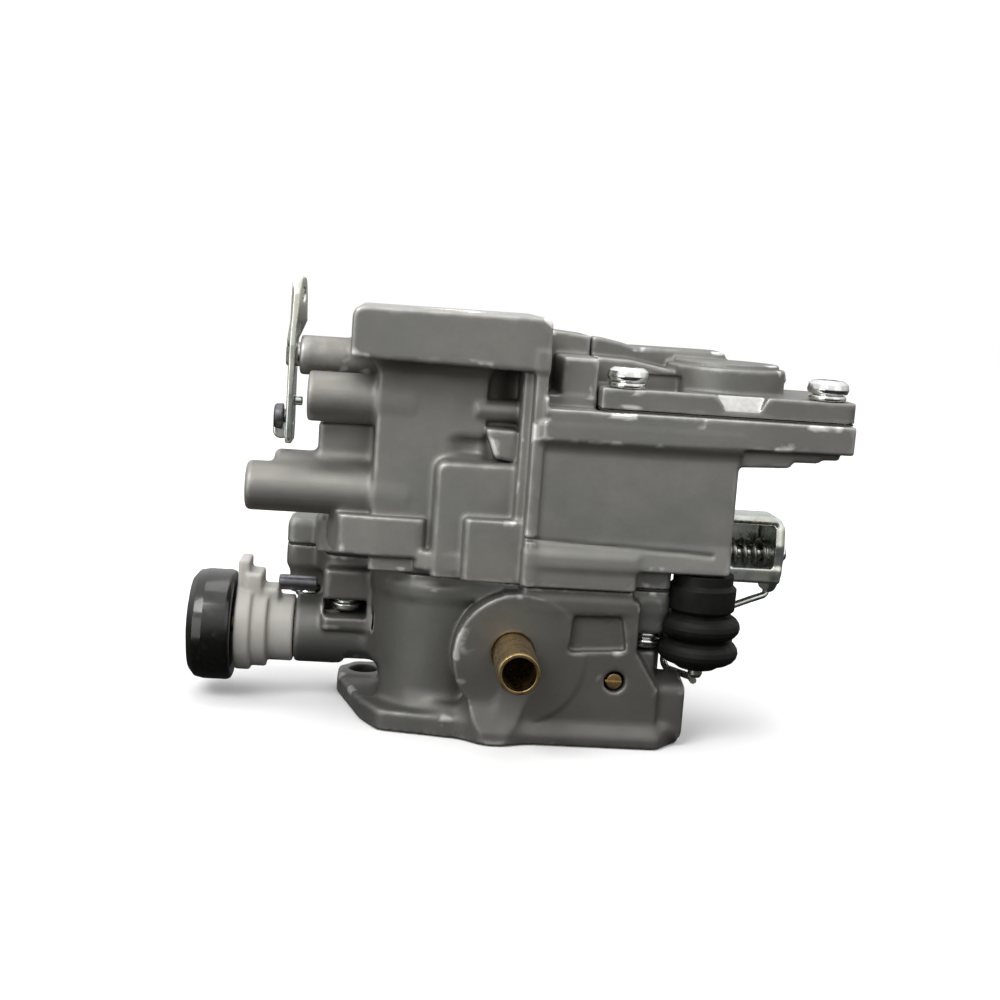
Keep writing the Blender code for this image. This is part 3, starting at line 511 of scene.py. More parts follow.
def coil(name, axis, at, span, radius, gauge, turns, mat):
    """A coil spring with one closed turn at each end."""
    place = {"X": (0.0, at[0], at[1]), "Y": (at[0], 0.0, at[1]), "Z": (at[0], at[1], 0.0)}[axis]
    move = Matrix.Translation(Vector(place)) @ turn(axis)
    count = int(turns * 28)
    points = []
    for i in range(count + 1):
        t = i / count
        a = 2 * math.pi * turns * t
        body = min(max((t * turns - 1) / max(turns - 2, 0.1), 0), 1)
        h = span[0] + gauge + (span[1] - span[0] - 2 * gauge) * (0.86 * body + 0.14 * t)
        points.append(tuple(move @ Vector((radius * math.cos(a), radius * math.sin(a), h))))
    return wire(name, points, gauge, mat, 4)


def carve(ob, tools):
    """Cut tool meshes out of an object and soften the new edges."""
    for tool in tools:
        mod = ob.modifiers.new("cut", "BOOLEAN")
        mod.operation = "DIFFERENCE"
        mod.object = tool
        mod.solver = "EXACT"
    bake(ob)
    for tool in tools:
        bpy.data.objects.remove(tool)
    return smooth(ob)


def cutter(x, y, z):
    """A plain box used only to cut."""
    size = Vector((x[1] - x[0], y[1] - y[0], z[1] - z[0])) * MM
    mid = Vector((x[0] + x[1], y[0] + y[1], z[0] + z[1])) * (MM / 2)
    bm = bmesh.new()
    bmesh.ops.create_cube(bm, size=1.0, matrix=Matrix.Translation(mid) @ Matrix.Diagonal((*size, 1.0)))
    mesh = bpy.data.meshes.new("cutter")
    bm.to_mesh(mesh)
    bm.free()
    return link(bpy.data.objects.new("cutter", mesh))


def place(ob, body, node, slot):
    """Ride on a body and stand for a CAD node. The slot for the finish is not used."""
    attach(ob, body)
    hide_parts(node)


def stretch(ob, body, start, end, node, slot):
    """Bake the object where it stands and stand for a CAD node. body and slot are not used; start and end
    are read but nothing comes of them.
    """
    tuple(Vector(start) * MM)
    tuple(Vector(end) * MM)
    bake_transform(ob)
    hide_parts(node)


# ---------------------------------------------------------------- materials
class Shader:
    """Small helper round one material's nodes."""

    def __init__(self, name, **sockets):
        self.mat = bpy.data.materials.new(name)
        self.mat.use_nodes = True
        self.nodes = self.mat.node_tree.nodes
        self.links = self.mat.node_tree.links
        self.bsdf = self.nodes["Principled BSDF"]
        for key, value in sockets.items():
            self.bsdf.inputs[key.replace("_", " ")].default_value = value
        self.coords = self.nodes.new("ShaderNodeTexCoord").outputs["Object"]
        self.normal = None

    def noise(self, scale, detail=3.0, rough=0.5, stretch=None):
        """Noise with features of about 1/scale metres."""
        node = self.nodes.new("ShaderNodeTexNoise")
        node.inputs["Scale"].default_value = scale
        node.inputs["Detail"].default_value = detail
        node.inputs["Roughness"].default_value = rough
        source = self.coords
        if stretch:
            mapping = self.nodes.new("ShaderNodeMapping")
            mapping.inputs["Scale"].default_value = stretch
            self.links.new(source, mapping.inputs["Vector"])
            source = mapping.outputs["Vector"]
        self.links.new(source, node.inputs["Vector"])
        return node.outputs["Fac"]

    def attribute(self, name):
        """A number kept on the mesh's points."""
        node = self.nodes.new("ShaderNodeAttribute")
        node.attribute_name = name
        return node.outputs["Fac"]

    def remap(self, value, a, b, c=0.0, d=1.0):
        """Straight line from a..b to c..d, held at both ends."""
        node = self.nodes.new("ShaderNodeMapRange")
        for key, number in (("From Min", a), ("From Max", b), ("To Min", c), ("To Max", d)):
            node.inputs[key].default_value = number
        self.links.new(value, node.inputs["Value"])
        return node.outputs["Result"]

    def mix(self, fac, one, two):
        """Mix two colours, each a colour or a socket."""
        node = self.nodes.new("ShaderNodeMix")
        node.data_type = "RGBA"
        for key, value in ((0, fac), (6, one), (7, two)):
            if isinstance(value, (int, float)):
                node.inputs[key].default_value = value
            elif isinstance(value, tuple):
                node.inputs[key].default_value = (*value, 1.0)
            else:
                self.links.new(value, node.inputs[key])
        return node.outputs[2]

    def math(self, kind, one, two):
        """Arithmetic on sockets or numbers."""
        node = self.nodes.new("ShaderNodeMath")
        node.operation = kind
        for key, value in ((0, one), (1, two)):
            if isinstance(value, (int, float)):
                node.inputs[key].default_value = value
            else:
                self.links.new(value, node.inputs[key])
        return node.outputs["Value"]

    def colour(self, socket):
        self.links.new(socket, self.bsdf.inputs["Base Color"])

    def rough(self, socket):
        self.links.new(socket, self.bsdf.inputs["Roughness"])

    def bump(self, height, strength, distance):
        """Add one layer of bump over the last."""
        node = self.nodes.new("ShaderNodeBump")
        node.inputs["Strength"].default_value = strength
        node.inputs["Distance"].default_value = distance
        self.links.new(height, node.inputs["Height"])
        if self.normal:
            self.links.new(self.normal, node.inputs["Normal"])
        self.normal = node.outputs["Normal"]
        self.links.new(self.normal, self.bsdf.inputs["Normal"])


def cast_skin(name, light=1.0):
    """Die-cast zinc alloy: matte, faintly blotched, brighter on its edges, with painted shade darkening its
    hollows.
    """
    s = Shader(name, Metallic=0.72)
    # light below 1 darkens every colour of the skin, for copies with painted shade
    warm = tuple(c * light for c in (0.300, 0.290, 0.265))
    cool = tuple(c * light for c in (0.235, 0.240, 0.222))
    base = s.mix(s.remap(s.noise(55, 4), 0.36, 0.64), cool, warm)
    fine = s.remap(s.noise(700, 5, 0.65), 0.3, 0.7, 0.0, 1.0)
    base = s.mix(s.math("MULTIPLY", fine, 0.28), base, tuple(c * 0.72 for c in warm))
    cloud = s.remap(s.noise(26, 3), 0.36, 0.66, 0.0, 0.5)
    base = s.mix(cloud, base, tuple(c * 0.66 for c in warm))
    # painted shade: the skin turns near black where a point lies deep in a hollow, standing in for shade
    hollow_shade = s.remap(s.attribute("hollow"), 0.05, 0.75, 0.0, 0.75)
    base = s.mix(hollow_shade, base, tuple(c * light for c in (0.105, 0.098, 0.085)))
    worn = s.math("ADD", s.attribute("edge"), s.remap(s.noise(260, 4), 0.3, 0.7, -0.14, 0.14))
    worn = s.remap(worn, 0.26, 0.75, 0.0, 0.5)
    base = s.mix(worn, base, tuple(c * light for c in (0.62, 0.61, 0.585)))
    near_edge = s.remap(s.attribute("edge"), 0.12, 0.34)
    chips = s.math("MULTIPLY", near_edge, s.remap(s.noise(150, 2), 0.6, 0.66))
    s.colour(s.mix(chips, base, tuple(c * light for c in (0.86, 0.85, 0.82))))
    rough = s.math("ADD", s.remap(s.noise(180, 4), 0.3, 0.7, 0.50, 0.62), s.math("MULTIPLY", worn, -0.16))
    s.rough(rough)
    s.bump(s.noise(240, 3), 0.28, 0.00022)
    s.bump(s.noise(1500, 4, 0.6), 0.22, 0.00008)
    return s.mat


def machined(name):
    """Faced or bored alloy: brighter, with fine tool lines."""
    s = Shader(name, Metallic=0.9)
    lines = s.noise(900, 4, 0.7)
    base = s.mix(s.remap(lines, 0.3, 0.7), (0.44, 0.435, 0.42), (0.60, 0.60, 0.585))
    stain = s.remap(s.noise(70, 5), 0.42, 0.72, 0.0, 0.5)
    s.colour(s.mix(stain, base, (0.30, 0.295, 0.275)))
    s.rough(s.remap(lines, 0.3, 0.7, 0.30, 0.44))
    s.bump(lines, 0.16, 0.00005)
    return s.mat


def zinc_plate(name):
    """Bright zinc plating with a faint blue and yellow cast."""
    s = Shader(name, Metallic=1.0)
    hue = s.mix(s.remap(s.noise(120, 3), 0.35, 0.65), (0.66, 0.74, 0.72), (0.80, 0.80, 0.70))
    dull = s.remap(s.noise(420, 5, 0.6), 0.45, 0.75, 0.0, 0.45)
    s.colour(s.mix(dull, hue, (0.46, 0.47, 0.44)))
    s.rough(s.remap(s.noise(300, 4), 0.3, 0.7, 0.20, 0.36))
    s.bump(s.noise(1100, 3), 0.10, 0.00004)
    return s.mat


def blotched(name, colours, tone, shine, grain, **sockets):
    """Two blotched colours with uneven gloss and a fine bump.

    tone is (noise, from, to, most of the second colour), shine is (noise, smoothest, roughest) and
    grain is (noise, strength, depth). Each noise is given as the arguments of Shader.noise.
    """
    s = Shader(name, **sockets)
    noise, low, high, most = tone
    s.colour(s.mix(s.remap(s.noise(*noise), low, high, 0.0, most), *colours))
    noise, low, high = shine
    s.rough(s.remap(s.noise(*noise), 0.3, 0.7, low, high))
    noise, strength, depth = grain
    s.bump(s.noise(*noise), strength, depth)
    return s.mat


def brass(name):
    """Turned brass, browned by age."""
    s = Shader(name, Metallic=1.0)
    lines = s.noise(1200, 3, 0.6, (0.15, 1.0, 0.15))
    base = s.mix(s.remap(lines, 0.3, 0.7), (0.60, 0.41, 0.19), (0.76, 0.56, 0.29))
    age = s.remap(s.noise(190, 5, 0.6), 0.35, 0.7, 0.0, 0.5)
    s.colour(s.mix(age, base, (0.24, 0.16, 0.075)))
    s.rough(s.remap(s.noise(420, 4), 0.3, 0.7, 0.22, 0.40))
    s.bump(lines, 0.10, 0.00004)
    return s.mat


def gloss_black(name):
    """Moulded black cap: glossy, with a little dust and fine scratches."""
    s = Shader(name, Metallic=0.0, Coat_Weight=0.35, Coat_Roughness=0.06)
    dust = s.remap(s.noise(900, 5, 0.7), 0.55, 0.8, 0.0, 0.5)
    s.colour(s.mix(dust, (0.006, 0.006, 0.005), (0.05, 0.048, 0.045)))
    s.rough(s.remap(s.noise(300, 5), 0.3, 0.75, 0.12, 0.34))
    s.bump(s.noise(160, 3), 0.10, 0.0001)
    s.bump(s.noise(2200, 2), 0.05, 0.00003)
    return s.mat


def gasket_paper(name):
    """Dark fibre gasket."""
    s = Shader(name, Metallic=0.0)
    fibre = s.remap(s.noise(1400, 5, 0.7, (1.0, 1.0, 4.0)), 0.3, 0.7)
    s.colour(s.mix(fibre, (0.016, 0.015, 0.013), (0.055, 0.05, 0.043)))
    s.rough(s.remap(fibre, 0.0, 1.0, 0.75, 0.95))
    s.bump(fibre, 0.5, 0.00008)
    return s.mat


# ---------------------------------------------------------------- castings
def body_column(s):
    """Barrel, front column, inlet flange and the plate over the joint."""
    s.add(rod("Z", (0, 0), (30, 80), 13.6, 0.5))  # barrel
    s.add(block((8, 18), (-8, 8), (30, 80), 1.0))  # wall between barrel and chamber
    s.add(block((-15.9, 6.4), (-14.0, 0), (30, 80), 0.9), 0.8)  # front column
    corners = [(-21.4, 76.3), (17.7, 75.6), (17.7, 85.4), (16.8, 86.4), (-21.4, 86.4)]
    top = outline(corners, [0.9, 0.9, 0.4, 0.4, 2.4])
    s.add(slab("Y", top, -22.0, 22.0, 0.7), 4.2)
    s.add(block((15.0, 17.6), (-21.9, 4), (30, 80), 0.6), 1.0)  # tall rib beside the chamber
    s.add(block((12.9, 15.6), (-19.0, 0), (30, 76), 0.7), 0.7)  # its step
    bump = outline([(-3.3, 30), (16, 30), (16, 56.7), (-3.3, 56.7)], [0, 0, 0.6, 2.6])
    s.add(slab("Y", bump, -17.6, -8, 1.3), 1.4)
    s.drill("Z", (4.0, -17.4), (57.4, 61.0), 5.4, 1.2, 1.4)  # scoop over the bump
    s.add(block((2.9, 17), (-19.7, -8), (30, 45.6), 0.7, 1.4), 1.0)  # low block on the bump
    s.add(slab("Z", outline(JOINT_OUTLINE, 1.6), 30, 37.4, 0.9), 1.2)  # joint plate
    lobe = outline([(-27.8, 11), (-27.4, 3.4), (-22, 1.8), (-8, 1.2), (2, 1), (2, 17), (-27.8, 17)], 2.2)
    s.add(slab("Z", lobe, 30, 41.2, 2.0), 1.2)
    shelf = outline([(-25.4, 10), (-24.6, -6), (-22.4, -14.6), (-14.4, -15.6), (-4.7, -15.9),
                     (-4.4, 4)], 1.8)
    s.add(slab("Z", shelf, 36.0, 44.3, 0.5), 0.4)
    ridge = outline([(-7.0, 0), (-6.6, -15.4), (-4.0, -17.0), (4.2, -18.0), (6, -13.6), (6, 0)], 1.2)
    s.add(slab("Z", ridge, 33.8, 38.0, 0.7), 0.5)


def body_left(s):
    """Bosses on the left and the lug over the starter."""
    s.add(rod("X", MIDDLE_BOSS, (-36.4, -8), 5.5, 1.2), 1.6)
    s.add(block((-27.6, -8), (-6.5, 8), (46, 62), 1.0), 1.6)  # block behind the bosses
    s.add(rod("X", VENT_BOSS, (-29.9, -8), 5.1, 0.7), 1.2)
    s.add(rod("X", LOW_BOSS, (-41.6, -8), 5.1, 1.1), 1.2)
    s.add(rod("X", (0.0, CHOKE_Z), (-32.4, -8), 4.1, 0.6), 1.6)  # choke boss
    lug = outline([(-33.8, 12.4), (-27, 12.0), (-27, 20.8), (-33.8, 20.8)], 1.6)
    s.add(slab("Z", lug, 30, 38.4, 0.8), 1.4)


def body_chamber(s):
    """Float chamber with its rim, the block beside the flange, and the bosses at the right and back."""
    body = outline([(-22.0, 36.9), (14, 36.9), (14, 66), (-20.9, 66), (-21.0, 43)], 0.8)
    s.add(slab("X", body, 15.4, 57.3, 0.9), 0.8)
    foot = outline([(15.4, 30), (38.3, 30), (38.3, 40), (15.4, 40)])
    s.add(slab("Y", foot, -21.9, -6, 0.9), 1.4)
    groove = outline([(13, 42.9), (53.6, 41.3), (53.6, 40.5), (13, 42.1)], 0.3)
    s.cut(slab("Y", groove, -26, -20.9, 0.2), 0.3)
    slope = outline([(-20.5, 60.4), (-22.3, 62.4), (-22.3, 66), (14, 66), (14, 60.4)], 0.3)
    s.add(slab("X", slope, 16.2, 57.6, 0.5), 0.8)
    under = outline([(50, 58.8), (58.4, 59.2), (67.6, 59.6), (68.6, 60.8), (73.4, 60.9), (74.4, 61.6),
                     (77.7, 61.7), (78.3, 66), (50, 66)], 0.5)
    s.add(slab("Y", under, -20.2, 15, 0.6), 1.0)
    edge = outline([(17.2, 62.5), (79.9, 63.1), (79.9, 71), (17.2, 71)], 0.6)
    s.add(slab("Y", edge, -22.6, 16.5, 0.5), 0.7)
    s.keep(2, high=INLET_Z)
    shoulder = outline([(8, 66), (8, 83.6), (20.3, 83.5), (31, 82.6), (31, 66)], 0.8)
    s.add(slab("Y", shoulder, 1.6, 19.0, 0.6), 1.5)
    s.cut(block((17.9, 34), (-30, -14.7), (CHAMBER_RIM, 90), 0.0, 0.0), 0.2)
    s.add(block((20.9, 32), (-14.6, 15.5), (66, 78.8), 0.8, 0.9), 0.8)  # block against the cover
    s.add(rod("X", PIVOT, (50, 59.2), 4.2, 0.7), 1.2)  # pump lever boss
    s.add(rod("Z", PUMP, (33.8, 40), 3.9, 0.4), 0.8)  # pump boss
    s.add(block((52.4, 59.8), (12, 21.2), (39.4, 44.0), 1.0, 2.2), 1.4)  # idle screw lug
    s.add(rod("Y", REAR_BOSS, (6, 26.0), 6.0, 0.9), 2.0)
    s.add(block((5, 15), (-11.6, -4), (57, 68.8), 0.6), 0.8)  # pocket floor
    s.add(rod("X", (-12.4, 66.9), (4, 15), 2.2, 0.5), 0.6)  # bar across the pocket
    rib = outline([(6, 63.6), (12.6, 63.4), (12.9, 57), (8.4, 57.6)], 0.6)
    s.add(slab("Y", rib, -16.6, -8, 0.5), 0.6)


def body_bores(s):
    """Bore, float chamber, passages, screw holes and the flat rim."""
    s.drill("Z", (0, 0), (20, 100), BORE_R, 0.1, 0.3)
    s.cut(block((19.5, 47.5), (-19.0, 11.5), (37.2, 66.0), 0.8, 2.4), 0.5)  # float chamber
    s.cut(block((28.4, 47.5), (-19.0, 11.5), (50, 90), 0.0, 2.4))  # its mouth
    s.drill("X", (0.0, CHOKE_Z), (-40, 14.6), 2.8)
    s.drill("X", VENT_BOSS, (-40, -20), 2.2, 0.2, 0.5)
    s.drill("X", LOW_BOSS, (-50, -24), 2.7, 0.2, 0.5)
    s.drill("X", MIDDLE_BOSS, (-50, -22), 1.6)
    s.drill("X", (0.0, 55.0), (4, 22), 1.9)  # main nozzle
    s.drill("Z", PUMP, (42, 90), 3.25)
    s.drill("Z", PUMP, (20, 50), 1.8)
    s.drill("X", PIVOT, (50.4, 70), 1.85)
    s.drill("Z", IDLE_SCREW, (30, 50), 1.8)
    s.drill("Z", (25.0, -6.0), (35.2, 40), 2.2)  # main jet
    s.drill("Z", (31.0, 6.0), (35.2, 40), 1.6)  # pilot jet
    s.drill("Y", REAR_BOSS, (16, 40), 3.2, 0.2)
    for x, y in BODY_SCREWS:
        s.drill("Z", (x, y), (20, 36.4), 1.9)
    for x, y in COVER_SCREWS:
        s.drill("Z", (x, y), (63.6, 90), 2.1)
    s.cut(block((28.35, 95), (-30, 30), (CHAMBER_RIM, 99), 0.0, 0.0), 0.2)  # flat rim
    s.cut(block((47.7, 49.1), (-26, -22.3), (67.0, 71), 0.2), 0.3)  # nicks in the rim
    s.cut(block((16, 18.2), (-26, -22.2), (66.6, 67.4), 0.2), 0.3)


def main_casting(skin, faced):
    """Upper casting: inlet flange, barrel, column, float chamber, plate and bosses."""
    s = Casting((-42.2, -23.0, JOINT_HI - 1), (80.4, 26.4, INLET_Z + 1), CAST_STEP)
    body_column(s)
    body_left(s)
    body_chamber(s)
    body_bores(s)
    s.keep(2, JOINT_HI, INLET_Z)
    tests = [facing(2, 1, INLET_Z), facing(2, -1, JOINT_HI), facing(2, 1, CHAMBER_RIM)]
    cast("main_body", s, 0.34, (skin, faced), [*tests, bored(BORE_R + 0.35)])


def throttle_casting(skin, faced):
    """Lower casting: engine flange, throttle bore, front chamber, lugs and starter boss."""
    s = Casting((-34.2, -25.6, -1), (51.4, 21.8, JOINT_LO + 1), CAST_STEP)
    s.add(rod("Z", (0, 0), (-2, 30), 14.6, 0.5))  # barrel
    s.add(slab("Z", outline(BASE_OUTLINE, 3.2), -4, 4.4, 1.1), 1.8)  # engine flange
    foot = outline([(-8, -9), (-6, -13), (1, -17.4), (16, -18.8), (16, -6), (-8, -6)], 2.0)
    s.add(slab("Z", foot, -4, 6.0, 1.2), 3.0)
    s.add(slab("Z", outline(JOINT_OUTLINE, 1.6), 27.4, 36, 1.0), 2.0)  # joint plate
    s.add(block((-24.2, -8), (2.4, 15), (LUG_Z, 36), 1.2, 1.6), 2.0)  # screw lugs
    s.add(block((-33.4, -22), (12.2, 20.6), (LUG_Z - 2.8, 36), 1.8, 2.2), 2.0)
    s.add(block((20.6, 29.4), (8, 20.4), (LUG_Z, 30), 1.0, 2.0), 1.6)
    front = outline([(12, 1), (44.9, 1), (44.9, 12.2), (41.0, 18.4), (39.9, 20), (39.9, 30.6), (12, 30.6)],
                    [0, 1.2, 3.6, 2.0, 1.0, 1.4, 0])
    s.add(slab("Y", front, -20.3, -7.6, 0.8), 1.2)
    s.add(block((30, 44.4), (-17.0, -7.6), (2, 30.8), 1.0), 1.4)
    s.add(block((38.0, 46.0), (-17.9, -6), (LUG_Z, 31.0), 1.0, 2.2), 1.4)
    s.add(slab("X", outline([(-18.8, 1), (-18.8, 13.2), (-9, 14.8), (-9, 1)], 2.6), 42, 51.0, 1.4), 1.6)
    s.add(rod("X", (0.0, THROTTLE_Z), (12, 46.9), 6.2, 0.8), 2.0)  # throttle shaft boss
    s.add(rod("X", STARTER, (-31.2, -6), 7.3, 1.0), 3.4)  # starter boss
    wedge = outline([(-30, -4), (-23.4, 0.6), (-23.2, 2.4), (-19.8, 9.5), (-8, 9.5), (-8, -4)], 1.5)
    s.add(both(rod("Z", (11.6, -17.6), (-4, 17), 6.2, 1.0), slab("X", wedge, 0, 24, 0.5)), 2.6)
    s.add(block((14, 45.2), (-21.3, -8), (-2, 2.3), 0.6), 3.4)  # toe of the flange
    s.add(block((36, 46.8), (-8.8, 3.4), (6, 29.6), 1.0), 1.4)
    s.add(block((-25.2, -9.0), (-1.2, 12), (16.6, 30), 0.8, 1.2), 1.2)
    s.add(rod("Y", (15.8, 17.4), (-20.5, -6), 13.5, 0.35), 0.5)  # round face of the vacuum pipe
    s.add(block((14, 44), (4, 9), (3, 29), 0.9), 1.4)
    recess = outline([(26.4, 26.9), (36.2, 27.2), (37.5, 20.2), (25.7, 19.4)], 0.8)
    s.cut(slab("Y", recess, -24, -18.9, 0.4), 0.6)
    s.cut(slab("Z", outline([(-21, 8), (-18, -5), (-13, -8), (-10, 2), (-14, 8)], 1.5), 4.4, 11, 0.8), 1.6)
    s.drill("Z", (0, 0), (-20, 60), BORE_R, 0.1, 0.3)
    s.cut(block((31, 36), (-17.2, -10.0), (4.4, 60), 0.6, 1.2), 0.3)  # well below the chamber
    s.drill("X", (0.0, THROTTLE_Z), (-14.4, 50), 3.3)
    s.drill("Y", (14.5, 18.6), (-27, -13.0), 4.3, 0.1, 0.2)  # vacuum pipe
    s.drill("Y", MIXTURE, (-27, -10.2), 2.2, 0.1, 0.4)
    s.drill("X", STARTER, (-40, -19.5), 4.6, 0.1, 0.3)
    s.drill("X", NIPPLE, (-33, -26.5), 1.75, 0.1, 0.2)
    for x, y in BODY_SCREWS:
        s.drill("Z", (x, y), (20, 50), 2.3)
        s.drill("Z", (x, y), (LUG_Z - 3.9, LUG_Z), 4.6, 0.4, 0.5)
    s.cut(block((-25.0, -15.8), (-6, 5.4), (LUG_Z - 3.9, LUG_Z), 0.4), 0.4)
    for x, y in FLANGE_HOLES:
        s.drill("Z", (x, y), (-10, 9), 3.3)
        s.drill("Z", (x, y), (4.2, 15), 5.6, 0.8, 0.6)
    s.keep(2, 0.0, JOINT_LO)
    tests = (facing(2, 1, JOINT_LO), facing(2, -1, 0.0), facing(0, -1, -31.2, 0.3), bored(BORE_R + 0.35))
    cast("throttle_body", s, 0.36, (skin, faced), tests)


def cover_casting(skin, faced):
    """Lid of the float chamber with its round dome and the inlet block."""
    s = Casting((28.2, -19.6, COVER_LO - 1), (81.4, 16.0, 84), CAST_STEP * 0.9)
    s.add(slab("Z", rect(26, 80.9, -19.0, 15.5, 2.4), 66, COVER_HI, 0.5))  # lid
    s.add(rod("Z", DOME, (68, 78.5), 12.3, 0.5), 0.7)
    s.add(rod("Z", DOME, (68, 79.5), 10.9, 0.4), 0.3)
    s.add(block((36.6, 58), (1.6, 14.6), (68, 81.2), 1.0, 3.0), 1.4)  # fuel inlet block
    corners = [(26, 68), (26, 83.0), (31, 82.6), (35, 81.9), (38.4, 80.9), (38.6, 68)]
    horn = outline(corners, [0, 0, 0.8, 1.5, 0.5, 0])
    s.add(slab("Y", horn, 1.6, 6.4, 0.6), 0.8)
    ledge = outline([(26, 68), (26, 78.9), (36, 78.6), (45.4, 77.0), (46.6, 68)], [0, 0, 1.5, 1.0, 0])
    s.add(slab("Y", ledge, -7.4, 3.0, 0.5), 0.7)
    s.cut(block((36.2, 46.4), (-17.2, -6.6), (72.5, 76), 0.3, 1.0), 0.4)  # shallow tray
    facet = outline([(-23, 70.0), (-19.2, 70.0), (-16.2, 73.6), (-23, 76)])
    trapeze = outline([(51.3, 74.2), (62.8, 74.2), (60.5, 69.9), (54.1, 69.9)])
    s.cut(both(slab("X", facet, 50, 64, 0.1), slab("Y", trapeze, -24, -10, 0.1)), 0.2)
    s.drill("Z", DOME, (50, 76.4), 9.2, 0.6, 0.3)  # hollow under the dome
    s.drill("Z", (39.0, 6.0), (50, 77), 2.9, 0.1, 0.2)  # needle seat
    s.drill("Y", FUEL_PIPE, (8, 20), 2.6)
    s.drill("X", (8.6, 77.0), (39.2, 46), 1.4)  # fuel passage
    for x, y in COVER_SCREWS:
        s.drill("Z", (x, y), (50, 99), 2.5)
        s.drill("Z", (x, y), (COVER_HI - 0.02, 99), 4.6, 0.0, 0.2)
    s.keep(2, low=COVER_LO)
    s.cut(block((20, 28.6), (-30, 30), (60, 99), 0.0, 0.0))  # end against the body

    def milled(mid, normal):
        """The slanted facet on the front edge."""
        leaning = (normal[:, 2] > 0.4) & (normal[:, 1] < -0.5)
        return leaning & (mid[:, 1] < -16) & (np.abs(mid[:, 0] - 57) < 5)

    cast("chamber_cover", s, 0.4, (skin, faced), (facing(2, -1, COVER_LO), milled))


def gasket_sheets(mat):
    """The two gaskets, a hair inside the edges of the castings."""
    well = fillet([(31, -17.4), (36, -17.4), (36, -10), (31, -10)], 0.8)
    holes = [ring_loop(0, 0, BORE_R + 0.3, 48), well]
    holes += [ring_loop(x, y, 2.3) for x, y in BODY_SCREWS]
    edge = fillet(JOINT_OUTLINE, 1.6)
    ob = plate("look_body_gasket", [edge, *holes], "Z", (JOINT_LO + 0.02, JOINT_HI - 0.02), mat, 0.08)
    place(ob, "castings", "body_gasket", "gasket")
    edge = fillet([(28.7, -20.4), (80.4, -20.4), (80.4, 16.0), (28.7, 16.0)], 3.0)
    holes = [fillet([(30.8, -18.4), (46.8, -18.4), (46.8, 11.2), (30.8, 11.2)], 1.5), ring_loop(*PUMP, 3.3)]
    holes += [ring_loop(x, y, 2.4) for x, y in COVER_SCREWS]
    ob = plate("look_cover_gasket", [edge, *holes], "Z", (CHAMBER_RIM + 0.02, COVER_LO - 0.02), mat, 0.08)
    place(ob, "castings", "cover_gasket", "gasket")


# ---------------------------------------------------------------- fasteners
def cross_recess(size, deep, top):
    """Tools for a cross recess in a head whose top is at the given height."""
    wide = size * 0.3
    height = (top - deep, top + 2)
    return [cutter((-size, size), (-wide, wide), height), cutter((-wide, wide), (-size, size), height)]


def pan_screw(name, at, up, stem, stem_r, head_r, head_h, mat):
    """Pan-head screw with a flat washer, a split washer and a cross recess."""
    profile = [
        (0, -stem), (stem_r * 0.8, -stem), (stem_r, 0.5 - stem), (stem_r, 0.05), (head_r * 0.87, 0.05),
        (head_r * 0.89, 0.6), (head_r * 0.87, 1.15), (head_r * 0.72, 1.2), (head_r * 0.72, 1.4),
        (head_r * 0.92, 1.45), (head_r * 0.99, head_h * 0.55), (head_r * 0.93, head_h * 0.82),
        (head_r * 0.7, head_h * 0.97), (0, head_h),
    ]
    ob = revolve(name, profile, (0, 0, 0), "Z", mat, 0.5, 48, angle=50)
    carve(ob, cross_recess(head_r * 0.55, head_h * 0.42, head_h))
    move = Matrix.Translation(Vector(at) * MM)
    if up < 0:
        move = move @ Matrix.Rotation(math.pi, 4, "X")
    ob.data.transform(move @ Matrix.Rotation(0.5 + at[0], 4, "Z"))
    return ob


def screws(mat):
    """Cover screws from above and body screws from below."""
    for i, (x, y) in enumerate(COVER_SCREWS):
        ob = pan_screw(f"look_cover_screw_{i + 1}", (x, y, COVER_HI), 1, 9.0, 1.8, 4.3, 4.3, mat)
        place(ob, "castings", f"cover_screw_{i + 1}", "zinc_steel")
    for i, (x, y) in enumerate(BODY_SCREWS):
        ob = pan_screw(f"look_body_screw_{i + 1}", (x, y, LUG_Z), -1, 12.4, 1.6, 3.3, 3.5, mat)
        place(ob, "castings", f"body_screw_{i + 1}", "zinc_steel")


